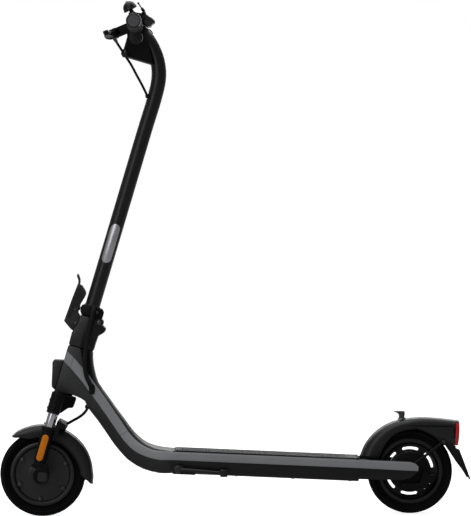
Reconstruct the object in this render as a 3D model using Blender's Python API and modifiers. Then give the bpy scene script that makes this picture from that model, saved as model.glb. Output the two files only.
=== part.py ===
"""Electric kick scooter with a folding stem, built from its separate real pieces.

Units are metres, +Z is up and +X points to the rear. The origin is on the ground, midway
between the front of the front tyre and the tip of the mudflap, in the middle of the width.
Side-view outlines are lists of (x, z) points in the frame of the empty that carries them.
"""

import math

import bmesh
import bpy
from mathutils import Matrix, Vector

# Wheels and steering geometry
TYRE_DIAMETER = 0.205
TYRE_WIDTH = 0.050
WHEELBASE = 0.885
MUDFLAP_REACH = 0.1448
STEERING_RAKE = math.radians(16.9)
SUSPENSION_TRAVEL = 0.016

# Deck
DECK_SLOPE = math.radians(2.9)
DECK_WIDTH = 0.130
DECK_THICKNESS = 0.0535
DECK_WALL = 0.003
DECK_CORNER = 0.007
DECK_RISE_AT_REAR_AXLE = 0.0268
DECK_START_BEHIND_FRONT_AXLE = 0.3137
DECK_END_AHEAD_OF_REAR_AXLE = 0.1244
DECK_MAT_THICKNESS = 0.0018
BOTTOM_COVER_THICKNESS = 0.0025
BOTTOM_LIP = 0.008
ARM_THICKNESS = 0.013
TRIM_THICKNESS = 0.0015
TRIM_HEIGHT = 0.0195

# Battery inside the deck
BATTERY_LENGTH = 0.300
BATTERY_WIDTH = 0.105
BATTERY_HEIGHT = 0.038

# Head, base and stem, measured along the steering axis from the front axle
HEAD_HALF_WIDTH = 0.030
HEAD_FRONT = 0.028
HEAD_TOP = 0.316
HEAD_BOTTOM = 0.1985
NOSE_HALF_WIDTH = 0.0285
BASE_HALF_WIDTH = 0.0270
BASE_TOP = 0.3942
STEM_RADIUS = 0.0178
STEM_WALL = 0.0025
COLLAR_TOP = 0.4205
FOLD_PIVOT = (0.0279, 0.3879)
FOLD_PIN_RADIUS = 0.004
KNUCKLE_RADIUS = 0.009
KNUCKLE_HALF_WIDTH = 0.012
LATCH_PIVOT = (-0.0260, 0.3701)
LATCH_PIN_RADIUS = 0.003
LATCH_LUG_HALF_WIDTH = 0.0075
LATCH_HALF_WIDTH = 0.0130
LATCH_FOOT_RADIUS = 0.0200
LINK_PIVOT = (-0.0365, 0.4010)
PLATE_LENGTH = 0.097
PLATE_WIDTH = 0.023
PLATE_CENTRE = 0.578

# Handlebar and controls
BAR_CENTRE = (-0.0908, 1.0916)
BAR_LENGTH = 0.445
BAR_RADIUS = 0.011
BAR_WALL = 0.002
GRIP_RADIUS = 0.0181
GRIP_LENGTH = 0.1175
CLAMP_RADIUS = 0.0195
CONTROL_PLANE_TILT = math.radians(22.5)
BRAKE_Y = -(BAR_LENGTH / 2 - GRIP_LENGTH - 0.017)
BRAKE_PIVOT_REACH = 0.050
THROTTLE_Y = BAR_LENGTH / 2 - GRIP_LENGTH - 0.015
BELL_RADIUS = 0.0165
BELL_HEIGHT = 0.022
BELL_TILT = math.radians(27.5)
BUTTON_RADIUS = 0.005
BUTTON_TRAVEL = 0.0015

# Fork
STEERER_RADIUS = 0.0150
STEERER_WALL = 0.003
STEERER_TOP = 0.345
LEG_Y = 0.057
LEG_RADIUS = 0.0145
STANCHION_RADIUS = 0.0103
STANCHION_X = -0.0165
CUP_RADIUS = 0.016
CROWN_TOP = 0.1960
LEG_TOP = 0.112
REFLECTOR_LENGTH = 0.065
REFLECTOR_WIDTH = 0.0155
FRONT_FENDER_RADIUS = 0.119
FENDER_HALF_WIDTH = 0.033
FENDER_WALL = 0.0025
STAY_RADIUS = 0.0036

# Wheels
RIM_RADIUS = 0.0787
RIM_HALF_WIDTH = 0.017
FRONT_AXLE_RADIUS = 0.007
REAR_AXLE_RADIUS = 0.005
REAR_SPACER_RADIUS = 0.009
STATOR_RADIUS = 0.060
DRUM_RADIUS = 0.040
SLOT_COUNT = 6
SLOT_RADIUS = 0.054
SLOT_WIDTH = 0.0088
SLOT_SWEEP = math.radians(38)
LOBE_COUNT = 6

# Kickstand
KICKSTAND_PIVOT_BEHIND_FRONT_AXLE = 0.3292
KICKSTAND_PIVOT_BELOW_DECK = 0.0435
KICKSTAND_LENGTH = 0.118
BRACKET_THICKNESS = 0.004
KICKSTAND_DROOP = math.radians(6.0)
KICKSTAND_AXIS_TILT = math.radians(18)

# Gaps between neighbours: seated pieces, and pieces that turn
SEAT_GAP = 0.0003
TURNING_GAP = 0.001
PIN_GAP = 0.0003

TYRE_RADIUS = TYRE_DIAMETER / 2
FRONT_AXLE_X = -(TYRE_RADIUS + WHEELBASE + MUDFLAP_REACH) / 2 + TYRE_RADIUS
REAR_AXLE_X = FRONT_AXLE_X + WHEELBASE
DECK_HALF_WIDTH = DECK_WIDTH / 2
DECK_FRONT = -(WHEELBASE - DECK_START_BEHIND_FRONT_AXLE) / math.cos(DECK_SLOPE)
DECK_REAR = -DECK_END_AHEAD_OF_REAR_AXLE
ARM_INNER = DECK_HALF_WIDTH - ARM_THICKNESS


def clear_scene():
    for scene_object in list(bpy.data.objects):
        bpy.data.objects.remove(scene_object)


def make_collection(name):
    collection = bpy.data.collections.new(name)
    bpy.context.scene.collection.children.link(collection)
    return collection


clear_scene()
PARTS = make_collection("electric_scooter")
CUTTERS = make_collection("cutters_and_joined_shapes")


def make_frame(name, location, turn_about_y=0.0, parent=None):
    """An empty that carries pieces in its own frame."""
    empty = bpy.data.objects.new(name, None)
    empty.location = location
    empty.rotation_euler = (0.0, turn_about_y, 0.0)
    empty.parent = parent
    CUTTERS.objects.link(empty)
    return empty


REAR_AXLE = make_frame("rear_axle_centre", (REAR_AXLE_X, 0.0, TYRE_RADIUS))
FRONT_AXLE = make_frame("front_axle_centre", (FRONT_AXLE_X, 0.0, TYRE_RADIUS))
STEERING = make_frame("steering_axis", (FRONT_AXLE_X, 0.0, TYRE_RADIUS), STEERING_RAKE)
DECK = make_frame(
    "deck_top_line", (REAR_AXLE_X, 0.0, TYRE_RADIUS + DECK_RISE_AT_REAR_AXLE), DECK_SLOPE
)
BAR = make_frame(
    "bar_centre", (BAR_CENTRE[0], 0.0, BAR_CENTRE[1]), -STEERING_RAKE, parent=STEERING
)

MATERIALS = {}


def material(name, colour, roughness, metallic=0.0):
    if name not in MATERIALS:
        made = bpy.data.materials.new(name)
        made.use_nodes = True
        shader = made.node_tree.nodes["Principled BSDF"]
        shader.inputs["Base Color"].default_value = (*colour, 1.0)
        shader.inputs["Roughness"].default_value = roughness
        shader.inputs["Metallic"].default_value = metallic
        MATERIALS[name] = made
    return MATERIALS[name]


def black_paint():
    return material("black_paint", (0.016, 0.017, 0.018), 0.38)


def black_plastic():
    return material("black_plastic", (0.020, 0.020, 0.022), 0.5)


def trim_plastic():
    return material("grey_trim", (0.13, 0.13, 0.14), 0.45)


def rubber():
    return material("rubber", (0.012, 0.012, 0.012), 0.8)


def dark_steel():
    return material("dark_steel", (0.08, 0.08, 0.085), 0.35, 1.0)


def chrome():
    return material("chrome", (0.75, 0.75, 0.77), 0.08, 1.0)


def amber():
    return material("amber_lens", (0.75, 0.25, 0.01), 0.2)


def red():
    return material("red_lens", (0.45, 0.01, 0.01), 0.2)


def clear_lens():
    return material("clear_lens", (0.6, 0.65, 0.7), 0.1)


def silver():
    return material("silver_plate", (0.42, 0.42, 0.43), 0.35, 0.6)


def place(name, mesh, parent, surface):
    """Link a mesh as a named piece of the scooter, or as a helper when it has no surface."""
    piece = bpy.data.objects.new(name, mesh)
    piece.parent = parent
    if surface is None:
        piece.hide_render = True
        piece.display_type = "WIRE"
        CUTTERS.objects.link(piece)
    else:
        mesh.materials.clear()
        mesh.materials.append(surface)
        PARTS.objects.link(piece)
    return piece


def smooth_shading(mesh, angle=math.radians(40)):
    mesh.shade_smooth()
    mesh.set_sharp_from_angle(angle=angle)


def mesh_from_curve(curve):
    """Turn a curve into a welded mesh."""
    holder = bpy.data.objects.new("curve_holder", curve)
    CUTTERS.objects.link(holder)
    graph = bpy.context.evaluated_depsgraph_get()
    mesh = bpy.data.meshes.new_from_object(holder.evaluated_get(graph))
    bpy.data.objects.remove(holder)
    welded = bmesh.new()
    welded.from_mesh(mesh)
    bmesh.ops.remove_doubles(welded, verts=welded.verts, dist=0.00001)
    bmesh.ops.recalc_face_normals(welded, faces=welded.faces)
    welded.to_mesh(mesh)
    welded.free()
    return mesh


def outline_mesh(outline, low, high):
    """Extrude a side-view outline of (x, z) points from y = low to y = high."""
    curve = bpy.data.curves.new("outline", "CURVE")
    curve.dimensions = "2D"
    curve.fill_mode = "BOTH"
    curve.extrude = (high - low) / 2
    spline = curve.splines.new("POLY")
    spline.points.add(len(outline) - 1)
    for point, (x, z) in zip(spline.points, outline):
        point.co = (x, z, 0.0, 1.0)
    spline.use_cyclic_u = True
    mesh = mesh_from_curve(curve)
    mesh.transform(Matrix.Rotation(math.pi / 2, 4, "X"))
    mesh.transform(Matrix.Translation((0.0, (low + high) / 2, 0.0)))
    return mesh


def side_plate(name, outline, low, high, parent, surface=None):
    return place(name, outline_mesh(outline, low, high), parent, surface)


def top_plate(name, outline, low, high, parent, surface=None):
    """Extrude a plan outline of (x, y) points from z = low to z = high."""
    mesh = outline_mesh(outline, -high, -low)
    mesh.transform(Matrix.Rotation(-math.pi / 2, 4, "X"))
    return place(name, mesh, parent, surface)


def box(name, low, high, parent, surface=None):
    shape = bmesh.new()
    bmesh.ops.create_cube(shape, size=1.0)
    size = [h - l for l, h in zip(low, high)]
    middle = [(h + l) / 2 for l, h in zip(low, high)]
    bmesh.ops.scale(shape, vec=size, verts=shape.verts)
    bmesh.ops.translate(shape, vec=middle, verts=shape.verts)
    mesh = bpy.data.meshes.new(name)
    shape.to_mesh(mesh)
    shape.free()
    return place(name, mesh, parent, surface)


def rod(name, radius, start, end, parent, surface=None, sides=20, end_radius=None):
    """A cylinder or cone between two points."""
    start = Vector(start)
    end = Vector(end)
    shape = bmesh.new()
    bmesh.ops.create_cone(
        shape,
        cap_ends=True,
        segments=sides,
        radius1=radius,
        radius2=radius if end_radius is None else end_radius,
        depth=(end - start).length,
    )
    turn = (end - start).to_track_quat("Z", "Y").to_matrix().to_4x4()
    shape.transform(Matrix.Translation((start + end) / 2) @ turn)
    mesh = bpy.data.meshes.new(name)
    shape.to_mesh(mesh)
    shape.free()
    smooth_shading(mesh)
    return place(name, mesh, parent, surface)


def cross_rod(name, radius, centre, low, high, parent, surface=None, sides=20):
    """A cylinder along y with its centre at the side-view point."""
    x, z = centre
    return rod(name, radius, (x, low, z), (x, high, z), parent, surface, sides)


def turned(name, profile, parent, surface=None, steps=36, centre=(0.0, 0.0, 0.0), axis=(0.0, 1.0, 0.0)):
    """Turn a profile of (radius, height) points about the axis. Height grows along the axis."""
    closed = profile[0][0] > 0.0 and profile[-1][0] > 0.0
    area = 0.0
    for (r0, h0), (r1, h1) in zip(profile, profile[1:] + profile[:1]):
        area += r0 * h1 - r1 * h0
    points = list(profile) if area < 0.0 else list(reversed(profile))
    edges = [(i, i + 1) for i in range(len(points) - 1)]
    if closed:
        edges.append((len(points) - 1, 0))
    mesh = bpy.data.meshes.new(name)
    mesh.from_pydata([(r, 0.0, h) for r, h in points], edges, [])
    piece = place(name, mesh, parent, surface)
    piece.location = centre
    piece.rotation_euler = Vector(axis).to_track_quat("Z", "Y").to_euler()
    screw = piece.modifiers.new("turn", "SCREW")
    screw.angle = 2 * math.pi
    screw.steps = steps
    screw.render_steps = steps
    screw.use_merge_vertices = True
    screw.merge_threshold = 0.00001
    screw.use_smooth_shade = True
    return piece


def loft(name, sections, parent, surface=None):
    """A closed solid through sections that all have the same number of points."""
    count = len(sections[0])
    verts = [point for section in sections for point in section]
    faces = []
    for row in range(len(sections) - 1):
        for i in range(count):
            j = (i + 1) % count
            low = row * count
            high = low + count
            faces.append((low + i, low + j, high + j, high + i))
    faces.append(tuple(range(count)))
    faces.append(tuple((len(sections) - 1) * count + i for i in range(count)))
    mesh = bpy.data.meshes.new(name)
    mesh.from_pydata(verts, [], faces)
    shape = bmesh.new()
    shape.from_mesh(mesh)
    bmesh.ops.recalc_face_normals(shape, faces=shape.faces)
    shape.to_mesh(mesh)
    shape.free()
    smooth_shading(mesh)
    return place(name, mesh, parent, surface)


def apply_boolean(piece, other, operation):
    modifier = piece.modifiers.new(operation.lower(), "BOOLEAN")
    modifier.operation = operation
    modifier.solver = "EXACT"
    modifier.object = other


def cut(piece, *others):
    for other in others:
        apply_boolean(piece, other, "DIFFERENCE")


def join(piece, *others):
    for other in others:
        apply_boolean(piece, other, "UNION")


def bevel(piece, width, segments=2, angle=math.radians(50)):
    modifier = piece.modifiers.new("rounded edges", "BEVEL")
    modifier.width = width
    modifier.segments = segments
    modifier.limit_method = "ANGLE"
    modifier.angle_limit = angle


def catmull_rom(points, steps):
    """Sample a smooth curve through the points, with so many steps for each stretch."""
    rows = [Vector(point) for point in points]
    ends = [2 * rows[0] - rows[1]] + rows + [2 * rows[-1] - rows[-2]]
    samples = []
    for i in range(1, len(ends) - 2):
        before, start, end, after = ends[i - 1 : i + 3]
        for step in range(steps):
            t = step / steps
            samples.append(
                0.5
                * (
                    2 * start
                    + (end - before) * t
                    + (2 * before - 5 * start + 4 * end - after) * t * t
                    + (3 * start - before - 3 * end + after) * t * t * t
                )
            )
    samples.append(rows[-1])
    return samples


def tube_curve(points, radius, resolution, caps=True):
    curve = bpy.data.curves.new("tube", "CURVE")
    curve.dimensions = "3D"
    curve.bevel_depth = radius
    curve.bevel_resolution = resolution
    curve.use_fill_caps = caps
    spline = curve.splines.new("POLY")
    spline.points.add(len(points) - 1)
    for point, place_on_route in zip(spline.points, points):
        point.co = (*place_on_route, 1.0)
    return curve


def tube(name, points, radius, parent, surface=None, resolution=2):
    mesh = mesh_from_curve(tube_curve(points, radius, resolution))
    smooth_shading(mesh)
    return place(name, mesh, parent, surface)


def arc(centre, radius, start, end, steps):
    """Points of an arc in the side view, angles in degrees from +x towards +z."""
    points = []
    for i in range(steps + 1):
        angle = math.radians(start + (end - start) * i / steps)
        points.append((centre[0] + radius * math.cos(angle), centre[1] + radius * math.sin(angle)))
    return points


def stadium(centre, length, width, steps=6):
    """An oblong outline that stands along z, with round ends."""
    x, z = centre
    straight = (length - width) / 2
    upper = arc((x, z + straight), width / 2, 0, 180, steps)
    lower = arc((x, z - straight), width / 2, 180, 360, steps)
    return upper + lower


def arched_shell(name, outer, edge, half_width, corner, wall, parent, surface):
    """A fender: a skin across the outer line, with side skirts down to the edge line."""
    verts = []
    for (ox, oz), (ex, ez) in zip(outer, edge):
        inward = Vector((ex - ox, ez - oz)).normalized()
        side = (ox + inward.x * corner, oz + inward.y * corner)
        soft = (ox + inward.x * corner * 0.3, oz + inward.y * corner * 0.3)
        left = [
            (ex, -half_width, ez),
            (side[0], -half_width, side[1]),
            (soft[0], -half_width + 0.3 * corner, soft[1]),
            (ox, -half_width + corner, oz),
        ]
        verts += left + [(x, -y, z) for x, y, z in reversed(left)]
    count = 8
    faces = []
    for row in range(len(outer) - 1):
        for i in range(count - 1):
            low = row * count + i
            faces.append((low, low + 1, low + 1 + count, low + count))
    mesh = bpy.data.meshes.new(name)
    mesh.from_pydata(verts, [], faces)
    smooth_shading(mesh)
    piece = place(name, mesh, parent, surface)
    skin = piece.modifiers.new("wall", "SOLIDIFY")
    skin.thickness = wall
    skin.offset = 1.0
    return piece


def deck_to_axle(x, z):
    """Side-view point of the deck frame in the upright frame of the front axle."""
    cosine = math.cos(DECK_SLOPE)
    sine = math.sin(DECK_SLOPE)
    return (
        WHEELBASE + x * cosine + z * sine,
        DECK_RISE_AT_REAR_AXLE - x * sine + z * cosine,
    )


NECK_FLARE_START = 0.165


def frame_half_width(x):
    """Half width of the neck at a distance behind the front axle: narrow, then out to the deck."""
    flare = (x - NECK_FLARE_START) / (DECK_START_BEHIND_FRONT_AXLE - NECK_FLARE_START)
    flare = min(max(flare, 0.0), 1.0)
    share = flare * flare * (3 - 2 * flare)
    return HEAD_HALF_WIDTH + (DECK_HALF_WIDTH - HEAD_HALF_WIDTH) * share


def neck_stations():
    """Lower and upper edge of the neck from the deck to the head, in the front axle frame."""
    deck_low = deck_to_axle(DECK_FRONT - SEAT_GAP, -DECK_THICKNESS)
    deck_high = deck_to_axle(DECK_FRONT - SEAT_GAP, 0.0)
    rows = [
        (*deck_low, *deck_high),
        (0.2825, 0.0022, 0.2835, 0.0598),
        (0.2440, 0.0112, 0.2608, 0.0667),
        (0.2148, 0.0267, 0.2419, 0.0773),
        (0.1981, 0.0405, 0.2202, 0.0977),
        (0.1739, 0.0687, 0.1987, 0.1273),
        (0.1548, 0.0969, 0.1776, 0.1561),
        (0.1339, 0.1275, 0.1590, 0.1831),
        (0.1133, 0.1545, 0.1347, 0.2182),
        (0.1033, 0.1735, 0.1255, 0.2500),
    ]
    return [tuple(row) for row in catmull_rom(rows, 2)]


def rounded_section(low, high, inset, corner, grow=0.0):
    """Rounded rectangle between a lower and an upper side-view point, shrunk by the inset."""
    low = Vector(low)
    high = Vector(high)
    up = (high - low).normalized()
    low = low + up * inset
    high = high - up * inset
    corner_steps = 2
    points = []
    for end, direction, sign in ((high, -up, 1), (low, up, -1)):
        side_points = []
        for i in range(corner_steps + 1):
            angle = math.pi / 2 * i / corner_steps
            along = end + direction * corner * (1 - math.cos(angle))
            half = frame_half_width(along.x) - inset - grow - corner * (1 - math.sin(angle))
            side_points.append((along.x, half, along.y))
        mirrored = [(x, -y, z) for x, y, z in side_points]
        if sign > 0:
            points += list(reversed(mirrored))
            points += side_points
        else:
            points += list(reversed(side_points))
            points += mirrored
    return points


def build_main_frame():
    """Head and neck in one hollow casting, with the bore of the steering tube."""
    wall = DECK_WALL
    joint_inset = 0.0006
    outer = []
    inner = []
    for lx, lz, hx, hz in neck_stations():
        outer.append(rounded_section((lx, lz), (hx, hz), 0.0, 0.009, joint_inset))
        inner.append(rounded_section((lx, lz), (hx, hz), wall, 0.007, joint_inset))
    behind = [(x + 0.004, y, z) for x, y, z in inner[0]]
    frame = loft("main_frame", outer, FRONT_AXLE, black_paint())
    hollow = loft("neck_hollow", [behind] + inner[1:-4], FRONT_AXLE)
    head_outline = [
        (-HEAD_FRONT, HEAD_BOTTOM + 0.003),
        (-HEAD_FRONT, HEAD_TOP - TURNING_GAP),
        (0.0326, HEAD_TOP - TURNING_GAP),
        (0.0352, 0.3040),
        (0.0379, 0.2964),
        (0.0434, 0.2830),
        (0.0505, 0.2701),
        (0.0575, 0.2575),
        (0.0640, 0.2400),
        (0.0640, 0.2000),
        (0.0560, 0.1930),
        (0.0470, 0.1978),
        (0.0369, 0.2009),
        (0.0239, 0.2025),
        (0.0100, 0.2030),
        (-0.0113, HEAD_BOTTOM),
    ]
    head = side_plate("head_body", head_outline, -HEAD_HALF_WIDTH, HEAD_HALF_WIDTH, STEERING)
    bevel(head, 0.006, 2, math.radians(60))
    bore = rod(
        "steerer_bore",
        STEERER_RADIUS + PIN_GAP,
        (0.0, 0.0, HEAD_BOTTOM - 0.02),
        (0.0, 0.0, HEAD_TOP + 0.02),
        STEERING,
        sides=32,
    )
    join(frame, head)
    cut(frame, hollow, bore)
    return frame


def build_nose_cover():
    outline = [
        (-HEAD_FRONT - SEAT_GAP, 0.2025),
        (-HEAD_FRONT - SEAT_GAP, 0.2768),
        (-0.0512, 0.2713),
        (-0.0532, 0.2650),
        (-0.0469, 0.2412),
        (-0.0399, 0.2133),
        (-0.0375, 0.2070),
    ]
    nose = side_plate(
        "nose_cover", outline, -NOSE_HALF_WIDTH, NOSE_HALF_WIDTH, STEERING, black_plastic()
    )
    bevel(nose, 0.003, 2, math.radians(60))
    return nose


def deck_section_outline():
    """Half open channel seen along the deck: (y, z) points."""
    half = DECK_HALF_WIDTH
    bottom = -DECK_THICKNESS
    inner = half - DECK_WALL
    lip = half - BOTTOM_LIP
    right = [
        (lip, bottom),
        (half - DECK_CORNER, bottom),
        (half - DECK_CORNER * 0.3, bottom + DECK_CORNER * 0.3),
        (half, bottom + DECK_CORNER),
        (half, -DECK_CORNER),
        (half - DECK_CORNER * 0.3, -DECK_CORNER * 0.3),
        (half - DECK_CORNER, 0.0),
    ]
    right_inner = [
        (inner - 0.004, -DECK_WALL),
        (inner, -DECK_WALL - 0.004),
        (inner, bottom + DECK_CORNER),
        (inner - 0.004, bottom + DECK_WALL),
        (lip, bottom + DECK_WALL),
    ]
    left = [(-y, z) for y, z in reversed(right)]
    left_inner = [(-y, z) for y, z in reversed(right_inner)]
    return right + left + left_inner + right_inner


def along_deck(name, section, start, end, parent, surface=None):
    """Extrude a (y, z) section along the deck."""
    mesh = outline_mesh(section, -end, -start)
    mesh.transform(Matrix.Rotation(math.pi / 2, 4, "Z"))
    return place(name, mesh, parent, surface)


def arm_outline():
    """Rear arm beside the wheel, from the deck's end to the axle, in the deck frame."""
    return [
        (DECK_REAR - 0.012, -0.0005),
        (-0.0020, -0.0005),
        (0.0100, -0.0040),
        (0.0172, -0.0105),
        (0.0196, -0.0190),
        (0.0100, -0.0300),
        (-0.0015, -0.0400),
        (-0.0180, -0.0450),
        (-0.1000, -0.0475),
        (DECK_REAR - 0.012, -0.0480),
    ]


def axle_in_deck_frame():
    """Side-view place of the rear axle in the deck frame."""
    return (
        DECK_RISE_AT_REAR_AXLE * math.sin(DECK_SLOPE),
        -DECK_RISE_AT_REAR_AXLE * math.cos(DECK_SLOPE),
    )


def build_deck_frame():
    deck = along_deck(
        "deck_frame", deck_section_outline(), DECK_FRONT, DECK_REAR, DECK, black_paint()
    )
    half = DECK_HALF_WIDTH
    end_wall = box(
        "deck_end_wall",
        (DECK_REAR - 0.010, -half + 0.001, -DECK_THICKNESS + BOTTOM_COVER_THICKNESS + 0.002),
        (DECK_REAR - 0.002, half - 0.001, -0.001),
        DECK,
    )
    join(deck, end_wall)
    for side, name in ((-1, "left"), (1, "right")):
        low, high = sorted((side * ARM_INNER, side * (half - 0.0002)))
        join(deck, side_plate("arm_" + name, arm_outline(), low, high, DECK))
    axle_hole = cross_rod(
        "rear_axle_seats",
        REAR_AXLE_RADIUS + SEAT_GAP,
        axle_in_deck_frame(),
        -half + 0.003,
        half - 0.003,
        DECK,
    )
    cut(deck, axle_hole)
    return deck


def build_deck_mat():
    half = DECK_HALF_WIDTH - 0.006
    top = SEAT_GAP + DECK_MAT_THICKNESS
    outline = [
        (DECK_FRONT + 0.004, SEAT_GAP),
        (DECK_FRONT + 0.004, SEAT_GAP + 0.0006),
        (DECK_FRONT + 0.010, top),
        (DECK_REAR - 0.006, top),
        (DECK_REAR - 0.006, SEAT_GAP),
    ]
    return side_plate("deck_mat", outline, -half, half, DECK, rubber())


def build_bottom_cover():
    half = DECK_HALF_WIDTH - BOTTOM_LIP - SEAT_GAP
    return box(
        "deck_bottom_cover",
        (DECK_FRONT + 0.001, -half, -DECK_THICKNESS),
        (DECK_REAR - 0.0005, half, -DECK_THICKNESS + BOTTOM_COVER_THICKNESS),
        DECK,
        black_plastic(),
    )


def build_battery():
    floor = -DECK_THICKNESS + BOTTOM_COVER_THICKNESS + SEAT_GAP
    battery_end = DECK_REAR - 0.020
    return box(
        "battery_pack",
        (battery_end - BATTERY_LENGTH, -BATTERY_WIDTH / 2, floor),
        (battery_end, BATTERY_WIDTH / 2, floor + BATTERY_HEIGHT),
        DECK,
        black_plastic(),
    )


def trim_stations():
    """Lower and upper edge of the side trim from the head's front to the arm's end."""
    rows = [
        (0.0533, 0.2712, 0.0620, 0.2952),
        (0.0712, 0.2531, 0.0804, 0.2766),
        (0.0846, 0.2369, 0.0961, 0.2580),
        (0.0983, 0.2204, 0.1126, 0.2391),
        (0.1135, 0.1987, 0.1306, 0.2133),
        (0.1344, 0.1702, 0.1536, 0.1813),
        (0.1483, 0.1502, 0.1678, 0.1599),
        (0.1621, 0.1302, 0.1813, 0.1401),
        (0.1784, 0.1056, 0.1972, 0.1169),
        (0.1925, 0.0855, 0.2111, 0.0968),
        (0.2098, 0.0659, 0.2286, 0.0788),
        (0.2289, 0.0515, 0.2472, 0.0667),
        (0.2562, 0.0403, 0.2674, 0.0586),
        (0.2840, 0.0345, 0.2921, 0.0552),
    ]
    stations = [tuple(row) for row in catmull_rom(rows, 2)]
    top = -0.0018
    for x, low, high in (
        (DECK_FRONT - 0.002, top - TRIM_HEIGHT, top),
        (DECK_FRONT + 0.010, top - TRIM_HEIGHT, top),
        (DECK_REAR, top - TRIM_HEIGHT, top),
        (-0.0020, -0.0226, top),
        (0.0090, -0.0225, -0.0052),
        (0.0165, -0.0222, -0.0112),
    ):
        stations.append((*deck_to_axle(x, low), *deck_to_axle(x, high)))
    return stations


def build_side_trim(side, name):
    sections = []
    for lx, lz, hx, hz in trim_stations():
        low_y = frame_half_width(lx) + SEAT_GAP
        high_y = frame_half_width(hx) + SEAT_GAP
        sections.append(
            [
                (lx, side * low_y, lz),
                (lx, side * (low_y + TRIM_THICKNESS), lz),
                (hx, side * (high_y + TRIM_THICKNESS), hz),
                (hx, side * high_y, hz),
            ]
        )
    return loft(name, sections, FRONT_AXLE, trim_plastic())


def build_head_cable():
    """Cable from the turning base down into an oval grommet on the left of the head."""
    grommet = side_plate(
        "cable_grommet",
        stadium((0.1207, 0.2035), 0.026, 0.014),
        -HEAD_HALF_WIDTH - TRIM_THICKNESS - 0.0032,
        -HEAD_HALF_WIDTH - TRIM_THICKNESS - 2 * SEAT_GAP,
        FRONT_AXLE,
        rubber(),
    )
    radius = 0.0055
    y = -HEAD_HALF_WIDTH - TRIM_THICKNESS - 0.0032 - SEAT_GAP - radius
    base_y = -BASE_HALF_WIDTH - SEAT_GAP - radius
    route = [
        (0.1185, y, 0.2110),
        (0.1140, y, 0.2210),
        (0.1085, y, 0.2340),
        (0.1048, y, 0.2520),
        (0.1042, y, 0.2720),
        (0.1056, y + 0.0030, 0.2920),
        (0.1085, base_y - 0.0010, 0.3120),
        (0.1120, base_y, 0.3300),
        (0.1160, base_y, 0.3480),
        (0.1200, base_y, 0.3660),
    ]
    cable = tube("head_cable", catmull_rom(route, 3), radius, FRONT_AXLE, rubber())
    return grommet, cable


def build_rear_fender():
    outer = [(0.126 * math.cos(math.radians(a)), 0.126 * math.sin(math.radians(a))) for a in
             (164, 150, 136, 122, 108, 94)]
    outer += [
        (0.0082, 0.1280),
        (0.0251, 0.1290),
        (0.0493, 0.1281),
        (0.0734, 0.1260),
        (0.0975, 0.1232),
        (0.1195, 0.1198),
        (0.1192, 0.0968),
        (0.1172, 0.0799),
        (0.1157, 0.0618),
    ]
    edge = [
        (-0.0780, 0.0330),
        (-0.0700, 0.0500),
        (-0.0640, 0.0630),
        (-0.0502, 0.0810),
        (-0.0357, 0.0917),
        (-0.0141, 0.0999),
        (0.0051, 0.1022),
        (0.0219, 0.0997),
        (0.0387, 0.0924),
        (0.0554, 0.0827),
        (0.0697, 0.0706),
        (0.0793, 0.0633),
        (0.0880, 0.0600),
        (0.0970, 0.0570),
        (0.1055, 0.0546),
    ]
    fender = arched_shell(
        "rear_fender", outer, edge, FENDER_HALF_WIDTH, 0.006, FENDER_WALL, REAR_AXLE, black_plastic()
    )
    room = side_plate("tail_light_room", tail_light_outline(SEAT_GAP), -0.05, 0.05, REAR_AXLE)
    cut(fender, room)
    return fender


def build_mudflap():
    outer = [
        (0.1040, 0.0700),
        (0.1085, 0.0570),
        (0.1187, 0.0497),
        (0.1211, 0.0437),
        (0.1294, 0.0219),
        (0.1365, 0.0025),
        (MUDFLAP_REACH, -0.0168),
    ]
    edge = [
        (0.0850, 0.0640),
        (0.0930, 0.0520),
        (0.1018, 0.0390),
        (0.1070, 0.0310),
        (0.1161, 0.0171),
        (0.1304, -0.0023),
        (MUDFLAP_REACH - 0.0036, -0.0204),
    ]
    half = FENDER_HALF_WIDTH - FENDER_WALL - SEAT_GAP
    return arched_shell("rear_mudflap", outer, edge, half, 0.004, 0.0022, REAR_AXLE, rubber())


def tail_light_outline(grow):
    """Side view of the lens block, or of the room for it when it grows."""
    return [
        (0.1106 - grow, 0.1155 + grow),
        (0.1183 + 5 * grow, 0.1155 + grow),
        (0.1183 + 5 * grow, 0.0970),
        (0.1172 + 5 * grow, 0.0799),
        (0.1146 + 5 * grow, 0.0618 - 10 * grow),
        (0.1076 - grow, 0.0618 - 10 * grow),
    ]


def build_tail_light():
    """Lens block across the whole rear end of the fender."""
    half = FENDER_HALF_WIDTH + 0.0002
    return side_plate("tail_light_lens", tail_light_outline(0.0), -half, half, REAR_AXLE, red())


def build_fender_hook():
    outline = [
        (-0.0295, 0.1232),
        (-0.0256, 0.1262),
        (-0.0246, 0.1310),
        (-0.0257, 0.1363),
        (-0.0303, 0.1402),
        (-0.0368, 0.1424),
        (-0.0360, 0.1440),
        (-0.0122, 0.1437),
        (-0.0110, 0.1386),
        (-0.0123, 0.1290),
        (-0.0087, 0.1264),
        (-0.0180, 0.1254),
    ]
    return side_plate("fender_hook", outline, -0.007, 0.007, REAR_AXLE, dark_steel())


def build_fender_stay(side, name):
    route = [
        (0.0060, side * (ARM_INNER - SEAT_GAP - STAY_RADIUS), 0.0185),
        (0.0160, side * (ARM_INNER - SEAT_GAP - STAY_RADIUS), 0.0262),
        (0.0300, side * 0.0450, 0.0352),
        (0.0600, side * 0.0385, 0.0570),
        (0.0740, side * (FENDER_HALF_WIDTH + SEAT_GAP + STAY_RADIUS), 0.0680),
    ]
    return tube(name, catmull_rom(route, 3), STAY_RADIUS, REAR_AXLE, dark_steel())


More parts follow.
